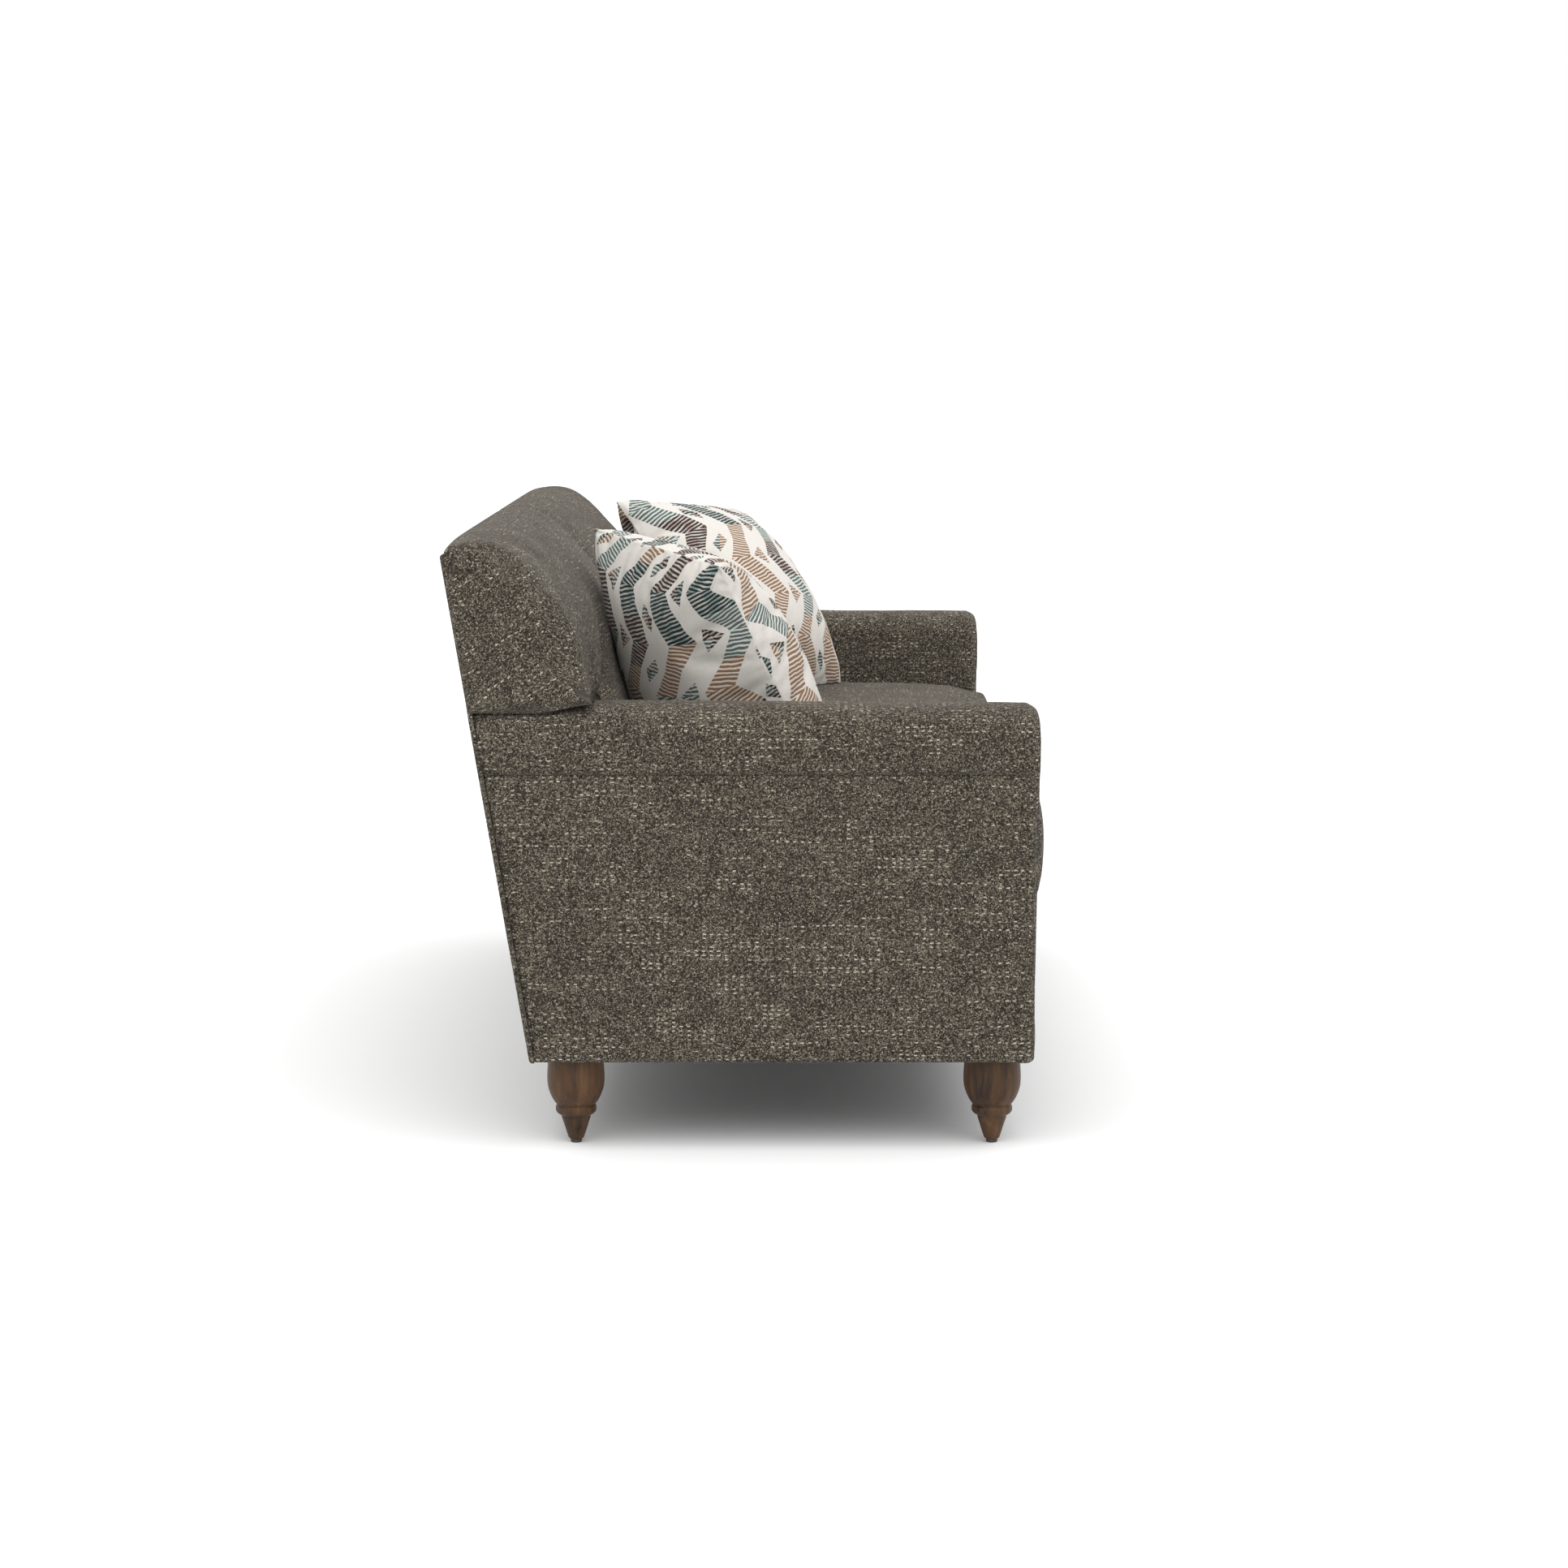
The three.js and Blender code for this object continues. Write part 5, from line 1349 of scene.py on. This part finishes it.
@dataclass
class ThrowPillow:
    """A knife-edge pillow: two faces sewn round their edge, filled, and pressed where it rests."""

    name: str
    end: float
    from_arm: float
    from_back: float
    sink: float
    yaw: float
    lean: float
    roll: float
    seed: int
    width: float = 0.460
    height: float = 0.440
    thickness: float = 0.240
    draw: float = 0.018
    slump: float = 0.38
    thin_top: float = 0.16
    loft: float = 0.86
    stuffing: Stuffing = Stuffing(4.5, 18, 0.022, 0.030, 10.0, 0.25)

    def face(self, side: float, count: int = 85) -> tuple[Array, Array]:
        """One face in the pillow's own frame, for the side that it bulges to.

        Shares run as sines so that cells crowd at the seam. The side seams are drawn in between the corners,
        the face rises as the product of two cosines, more at the back where the filling has sunk, and short
        gathers fan out of each corner. The cloth is measured along the face from its middle lines.
        """
        a, b = np.meshgrid(np.linspace(-1, 1, count), np.linspace(-1, 1, count), indexing="ij")
        u, v = np.sin(a * math.pi / 2), np.sin(b * math.pi / 2)
        plump = (np.cos(a * math.pi / 2) * np.cos(b * math.pi / 2)) ** 0.92 * (1.0 - self.thin_top * smoothstep(v, 0.0, 0.9))
        slump = 1.0 + self.slump * smoothstep(-v, -0.5, 0.5) * (side > 0)
        x = u * (self.width / 2 - self.draw * (1 - v * v))
        z = self.height / 2 + v * (self.height / 2 - self.draw * 0.7 * (v < 0) * (1 - u * u))
        reach = np.hypot((1 - np.abs(u)) * self.width / 2, (1 - np.abs(v)) * self.height / 2)
        fan = np.arctan2((1 - np.abs(u)) * self.width, (1 - np.abs(v)) * self.height)
        gather = np.sin(fan * 15.0 + np.sign(u) + 2 * np.sign(v)) * np.exp(-((reach - 0.045) / 0.030) ** 2) * 0.0022
        y = side * (plump * self.thickness / 2 * self.loft * slump + gather * np.minimum(plump * 8, 1))
        points = np.stack([x, y, z], axis=-1)
        return points, np.stack([measured(points, 0), measured(points, 1)], axis=-1)

    def place(self) -> Matrix:
        """The pillow's place on the seat, from the arm and the back."""
        turn = Matrix.Rotation(math.radians(-self.yaw), 4, "Z") @ Matrix.Rotation(math.radians(-self.lean), 4, "X")
        turn = turn @ Matrix.Rotation(math.radians(self.roll), 4, "Y")
        foot = (SOFA.arm_inner - self.from_arm, SOFA.back_base - self.from_back, SOFA.seat - self.sink)
        return Matrix.Translation(foot) @ turn

    def build(self, finishes: Finishes, cushion: bpy.types.Object, back: bpy.types.Object) -> bpy.types.Object:
        """Sews, fills and places the pillow.

        Args:
            finishes: the materials.
            cushion: the seat cushion that it stands on.
            back: the half of the back that it leans on.

        Returns:
            The pillow.
        """
        skin = Skin(f"throw_pillow_{self.name}")
        for side in (-1.0, 1.0):
            points, cloth = self.face(side)
            shift = [0.031 * self.seed, 0.017 * self.seed] if side < 0 else [0.4, 0.3 * self.seed]
            skin.patch(points, cloth + shift)
        piece = skin.build()
        points = places(piece)
        points = points + np.array([0.0, 0.0006, 0.0]) * ripple(points, self.seed, 0.07)[:, None]
        move_to(piece, points)
        held = (np.abs(points[:, 1]) < 0.0012).astype(float)
        self.stuffing.fill(piece, held)
        matrix = np.array(self.place())
        points = places(piece) @ matrix[:3, :3].T + matrix[:3, 3]
        points[:, 0] *= self.end
        move_to(piece, points)
        face_out(piece.data)
        kept_clear(piece, cushion)
        kept_clear(piece, back)
        body = f"throw_pillow_{self.name}"
        nodes = f"pillow_cover_{self.name}", f"pillow_insert_{self.name}"
        return finished(piece, finishes.print, body, *nodes, fill=0.75)


@dataclass
class HiddenFrame:
    """The timber frame, springs, webbing and hardware, which keep their CAD shapes."""

    def build(self, finishes: Finishes) -> None:
        """Gives each node that still shows its finish."""
        chosen = {"hardwood": finishes.hardwood, "steel": finishes.steel, "lining": finishes.lining}
        record = {part["node"]: part["material_slot"] for part in frame["record"]["subparts"]}
        for name, node in frame["nodes"].items():
            finish = finishes.webbing if name == "back_webbing" else chosen.get(record.get(name, ""))
            if finish is None:
                continue
            node.data.materials.clear()
            node.data.materials.append(finish.material)
        LOG.info("frame: timber, springs, webbing and hardware dressed")


@dataclass
class Studio:
    """A plain pale floor under soft light, and the camera at the sofa's left end."""

    lens: float = 82.74
    pitch: float = 7.186
    eye: tuple[float, float, float] = (-6.4646, -0.0590, 1.2649)
    floor_half: float = 60.0
    sun: float = 2.3
    sun_angle: float = 80.0
    sun_tilt: tuple[float, float] = (4.0, 28.0)
    sky: float = 1.0

    def floor(self) -> None:
        """A large pale sheet on the ground."""
        kit = NodeKit("studio_floor")
        place = kit.add("ShaderNodeTexCoord", output="Object")
        tone = kit.noise(place, 3.0, 2.0).ranged(0.2, 0.8, 0.0, 0.03)
        colour = kit.mixed(tone, rgba((0.80, 0.80, 0.80)), rgba((0.75, 0.75, 0.75)))
        kit.surface(colour, 0.9)
        h = self.floor_half
        mesh = bpy.data.meshes.new("studio_floor")
        mesh.from_pydata([(-h, -h, 0), (h, -h, 0), (h, h, 0), (-h, h, 0)], [], [(0, 1, 2, 3)])
        piece = bpy.data.objects.new("studio_floor", mesh)
        mesh.materials.append(kit.material)
        bpy.context.scene.collection.objects.link(piece)

    def light(self) -> None:
        """An even white sky and one broad soft light from above."""
        scene = bpy.context.scene
        scene.world = bpy.data.worlds.new("studio_sky")
        scene.world.use_nodes = True
        background = scene.world.node_tree.nodes["Background"]
        background.inputs["Color"].default_value = rgba((1.0, 1.0, 1.0))
        background.inputs["Strength"].default_value = self.sky
        lamp = bpy.data.lights.new("soft_overhead", "SUN")
        lamp.energy = self.sun
        lamp.angle = math.radians(self.sun_angle)
        piece = bpy.data.objects.new("soft_overhead", lamp)
        piece.rotation_euler = (math.radians(self.sun_tilt[0]), math.radians(-self.sun_tilt[1]), 0.0)
        scene.collection.objects.link(piece)
        scene.view_settings.view_transform = "Standard"

    def camera(self) -> None:
        """The camera looks along +X, tipped down a little."""
        lens = bpy.data.cameras.new("camera")
        lens.lens = self.lens
        lens.sensor_width = 36.0
        lens.clip_end = 200.0
        piece = bpy.data.objects.new("camera", lens)
        piece.location = self.eye
        piece.rotation_euler = (math.radians(90.0 - self.pitch), 0.0, math.radians(-90.0))
        bpy.context.scene.collection.objects.link(piece)
        bpy.context.scene.camera = piece

    def build(self) -> None:
        """Sets up the floor, the light and the camera."""
        self.floor()
        self.light()
        self.camera()


def main() -> None:
    """Builds the sofa's sub-assemblies in order."""
    logging.basicConfig(level=logging.INFO, format="%(name)s %(message)s")
    finishes = Finishes()
    TurnedLeg().build(finishes)
    SeatBase().build(finishes)
    backs: dict[str, bpy.types.Object] = {}
    cushions: dict[str, bpy.types.Object] = {}
    for name, end in SIDES.items():
        RollArm(name, end).build(finishes)
        backs[name] = BackHalf(name, end).build(finishes)
        cushions[name] = SeatCushion(name, end).build(finishes)
    pillows = (
        ThrowPillow("left", -1.0, 0.311, 0.199, 0.015, 25.2, 30.6, 5.4, 3),
        ThrowPillow("right", 1.0, 0.332, 0.230, -0.014, 24.1, 37.4, 6.5, 4))
    for pillow in pillows:
        pillow.build(finishes, cushions[pillow.name], backs[pillow.name])
    HiddenFrame().build(finishes)
    Studio().build()


if __name__ == "__main__":
    main()
